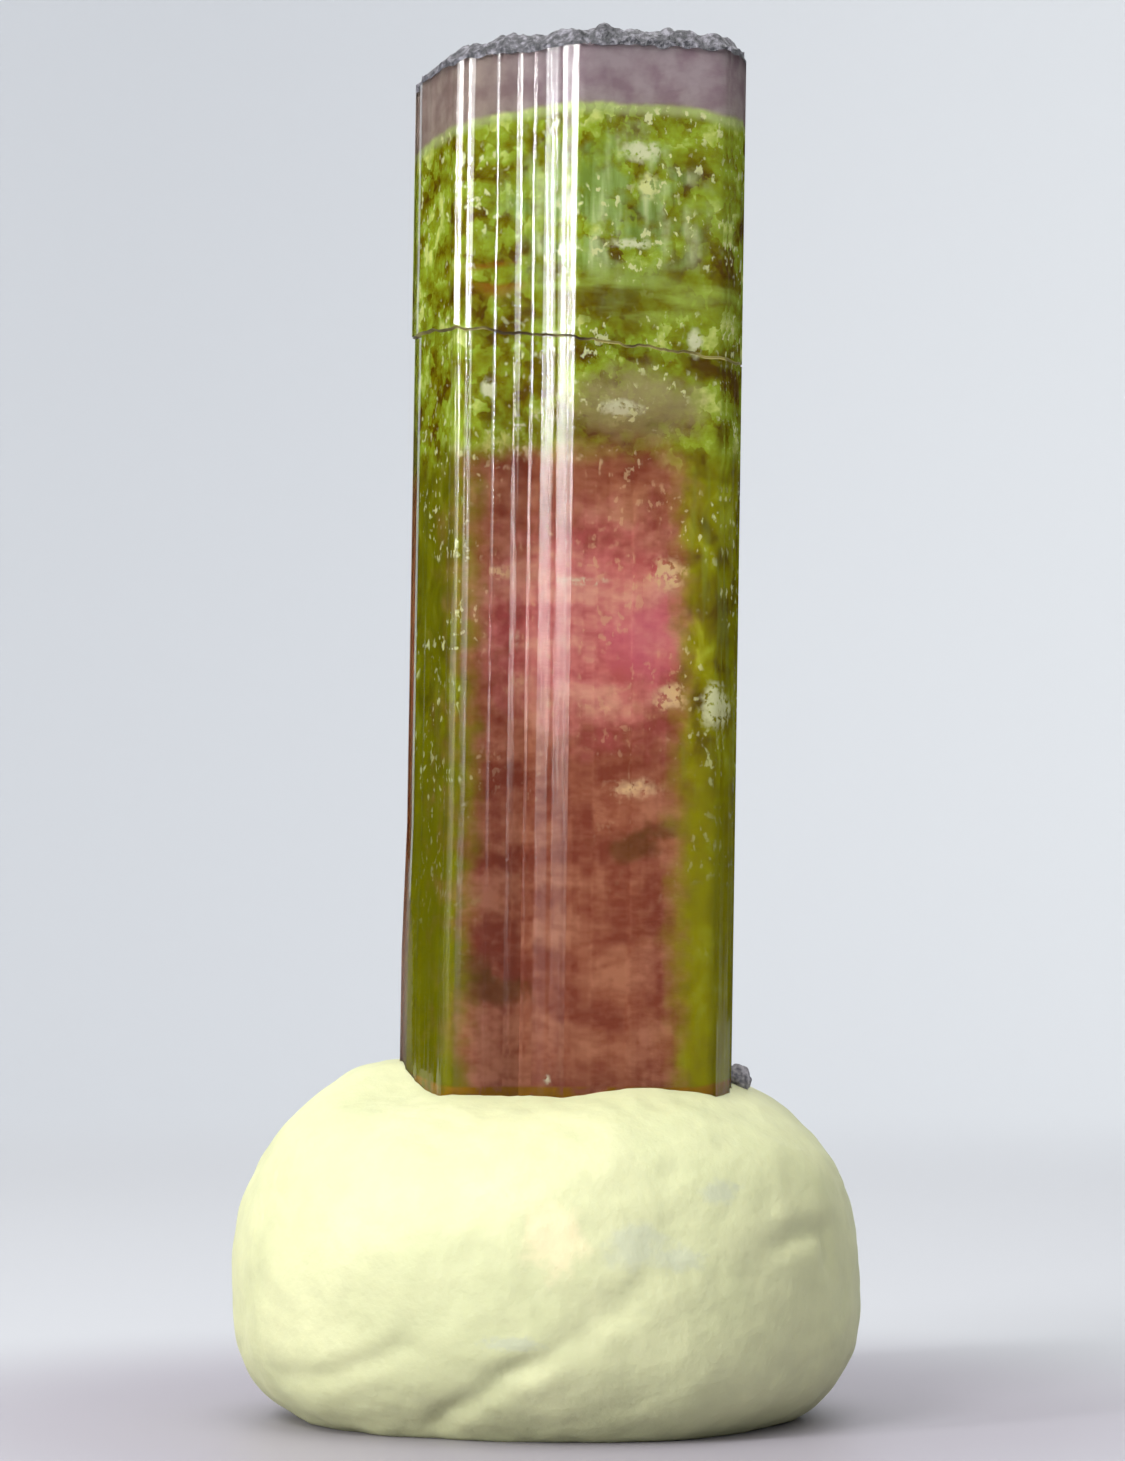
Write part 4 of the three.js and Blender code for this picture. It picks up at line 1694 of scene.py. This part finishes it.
@dataclass(frozen=True)
class Card:
    """A dark card beside the object, out of sight, that keeps glare off its side."""

    name: str
    x: float
    y_from: float
    y_to: float
    height: float = 120.0
    lift: float = 7.0
    tone: Colour = (0.02, 0.02, 0.02)

    def build(self) -> Piece:
        """The card, which stands on edge with its bottom a little over the floor.

        Returns:
            The card.
        """
        deselect_all()
        bpy.ops.mesh.primitive_plane_add(size=1.0)
        card = bpy.context.object
        card.name = self.name
        bpy.ops.object.mode_set(mode="EDIT")
        bpy.ops.mesh.select_all(action="SELECT")
        size = ((self.y_to - self.y_from) * MM, self.height * MM, 1.0)
        bpy.ops.transform.resize(value=size, center_override=(0, 0, 0))
        bpy.ops.object.mode_set(mode="OBJECT")
        middle = Vector((self.x, (self.y_from + self.y_to) / 2, self.height / 2 + self.lift)) * MM
        upright = Matrix.Rotation(math.pi / 2, 4, "Z") @ Matrix.Rotation(math.pi / 2, 4, "X")
        card.data.transform(Matrix.Translation(middle) @ upright)
        dark = Shader.new("dark_card")
        dark.set(Base_Color=(*self.tone, 1.0), Roughness=1.0, Specular_IOR_Level=0.0)
        card.data.materials.append(dark.material)
        card.visible_camera = False
        return card


@dataclass(frozen=True)
class FloorFinish:
    """Plain pale paper, darker near the object, whose wall is paler to the right."""

    middle: Colour = (0.31, 0.288, 0.328)
    outside: Colour = (0.47, 0.480, 0.505)
    outside_edge: Span = (13.0, 34.0)
    left_wall: Colour = (0.52, 0.538, 0.568)
    right_wall: Colour = (0.61, 0.628, 0.648)
    across: Span = (-80.0, 160.0)
    wall_edge: Span = (120.0, 260.0)
    roughness: float = 0.5

    def make(self) -> bpy.types.Material:
        """Draw the paper.

        Returns:
            The finished material.
        """
        paper = Shader.new("pale_floor")
        length = paper.add("ShaderNodeVectorMath", operation="LENGTH")
        paper.join(paper.place(), length.inputs[0])
        away = length.outputs["Value"]
        colour = paper.mix(paper.step(away, *self.outside_edge), self.middle, self.outside)
        wall = paper.mix(paper.step(paper.axis("X"), *self.across), self.left_wall, self.right_wall)
        paper.paint(paper.mix(paper.step(away, *self.wall_edge), colour, wall))
        paper.set(Roughness=self.roughness)
        return paper.material


@dataclass(frozen=True)
class Studio:
    """The plain pale floor, the soft lights and the camera."""

    camera_at: Point = (0.49, -130.0, 14.6)
    eye_line_row: float = 950.0
    photo_height: int = 1461
    pixels_per_mm: float = 31.6
    sensor: float = 36.0
    clip: Span = (0.002, 20.0)
    floor_radius: float = 0.24
    floor_corners: int = 128
    floor_angle: float = 60.0
    curve_radius: float = 0.26
    curve_steps: int = 20
    key: Lamp = Lamp("key", (-178.0, -129.0, 50.0), (28.0, 90.0), 0.85, (0.0, 0.0, 50.0))
    cards: tuple[Card, ...] = (
        Card("left_card", -150.0, -30.0, 210.0),
        Card("right_card", 150.0, -120.0, 120.0),
    )
    lamps: tuple[Lamp, ...] = (
        Lamp("front", (-120.0, -170.0, 230.0), (70.0, 70.0), 0.33),
        Lamp("top", (40.0, -60.0, 380.0), (260.0, 260.0), 0.3),
    )
    key_fade: tuple[Span, ...] = (
        # height up the panel and brightness there
        (0.0, 0.0),
        (0.2, 0.05),
        (0.4, 0.17),
        (0.5, 0.28),
        (0.6, 0.45),
        (0.72, 0.9),
    )
    sky: Colour = (1.33, 1.34, 1.35)

    def camera(self) -> Piece:
        """The camera, at the photograph's viewing angle.

        Returns:
            The camera.
        """
        focal_pixels = self.pixels_per_mm * abs(self.camera_at[1])
        pitch = math.atan((self.eye_line_row - self.photo_height / 2) / focal_pixels)
        data = bpy.data.cameras.new("camera")
        data.sensor_width = self.sensor
        data.lens = self.sensor * focal_pixels / self.photo_height
        data.clip_start, data.clip_end = self.clip
        camera = bpy.data.objects.new("camera", data)
        camera.location = Vector(self.camera_at) * MM
        camera.rotation_euler = (math.pi / 2 + pitch, 0, 0)
        bpy.context.scene.collection.objects.link(camera)
        bpy.context.scene.camera = camera
        return camera

    def floor(self) -> Piece:
        """The plain pale floor, which curves up into a plain pale wall all round.

        Returns:
            The floor.
        """
        deselect_all()
        bpy.ops.mesh.primitive_circle_add(
            vertices=self.floor_corners, radius=self.floor_radius, fill_type="NGON"
        )
        floor = bpy.context.object
        floor.name = "floor"
        bpy.ops.object.mode_set(mode="EDIT")
        bpy.ops.mesh.select_all(action="SELECT")
        bpy.ops.mesh.delete(type="ONLY_FACE")
        bpy.ops.mesh.select_all(action="SELECT")
        bpy.ops.mesh.edge_face_add()
        bpy.ops.mesh.select_all(action="DESELECT")
        edited = bmesh.from_edit_mesh(floor.data)
        for edge in edited.edges:
            edge.select = True
        bmesh.update_edit_mesh(floor.data)
        steps, size = self.curve_steps, self.floor_radius
        for k in range(1, steps + 1):
            turn = math.pi / 2 * k / steps
            wider = self.floor_radius + self.curve_radius * math.sin(turn)
            lift = self.curve_radius * (math.cos(turn - math.pi / 2 / steps) - math.cos(turn))
            bpy.ops.mesh.extrude_edges_move(TRANSFORM_OT_translate={"value": (0, 0, lift)})
            grow = wider / size
            bpy.ops.transform.resize(value=(grow, grow, 1), center_override=(0, 0, 0))
            size = wider
        bpy.ops.object.mode_set(mode="OBJECT")
        turn_outward(floor)
        smooth_by_angle(floor, self.floor_angle)
        floor.data.materials.append(FloorFinish().make())
        return floor

    def build(self) -> None:
        """Set up the whole stage."""
        scene = bpy.context.scene
        scene.view_settings.view_transform = "Standard"
        world = bpy.data.worlds.new("studio")
        world.use_nodes = True
        background = world.node_tree.nodes["Background"]
        background.inputs["Color"].default_value = (*self.sky, 1.0)
        background.inputs["Strength"].default_value = 1.0
        scene.world = world
        self.camera()
        self.floor()
        self.fade(self.key.build())
        for piece in (*self.cards, *self.lamps):
            piece.build()

    def fade(self, light: Piece) -> None:
        """Let a lamp's panel fade towards its lower edge.

        Args:
            light: The lamp.
        """
        light.data.use_nodes = True
        nodes, links = light.data.node_tree.nodes, light.data.node_tree.links
        where = nodes.new("ShaderNodeNewGeometry")
        split = nodes.new("ShaderNodeSeparateXYZ")
        ramp = nodes.new("ShaderNodeValToRGB")
        elements = ramp.color_ramp.elements
        while len(elements) < len(self.key_fade):
            elements.new(0.5)
        for element, (position, strength) in zip(elements, self.key_fade):
            element.position = position
            element.color = (strength, strength, strength, 1.0)
        links.new(where.outputs["Parametric"], split.inputs["Vector"])
        links.new(split.outputs["Y"], ramp.inputs["Fac"])
        links.new(ramp.outputs["Color"], nodes["Emission"].inputs["Color"])


def main() -> None:
    """Build the stage, the crystal and its putty."""
    logging.basicConfig(level=logging.INFO)
    Studio().build()
    crystal = Crystal()
    for piece in crystal.build():
        LOG.info("built %s with %d faces", piece.name, len(piece.data.polygons))
    lump = PuttyLump().build(crystal)
    LOG.info("built %s with %d faces", lump.name, len(lump.data.polygons))


if __name__ == "__main__":
    main()
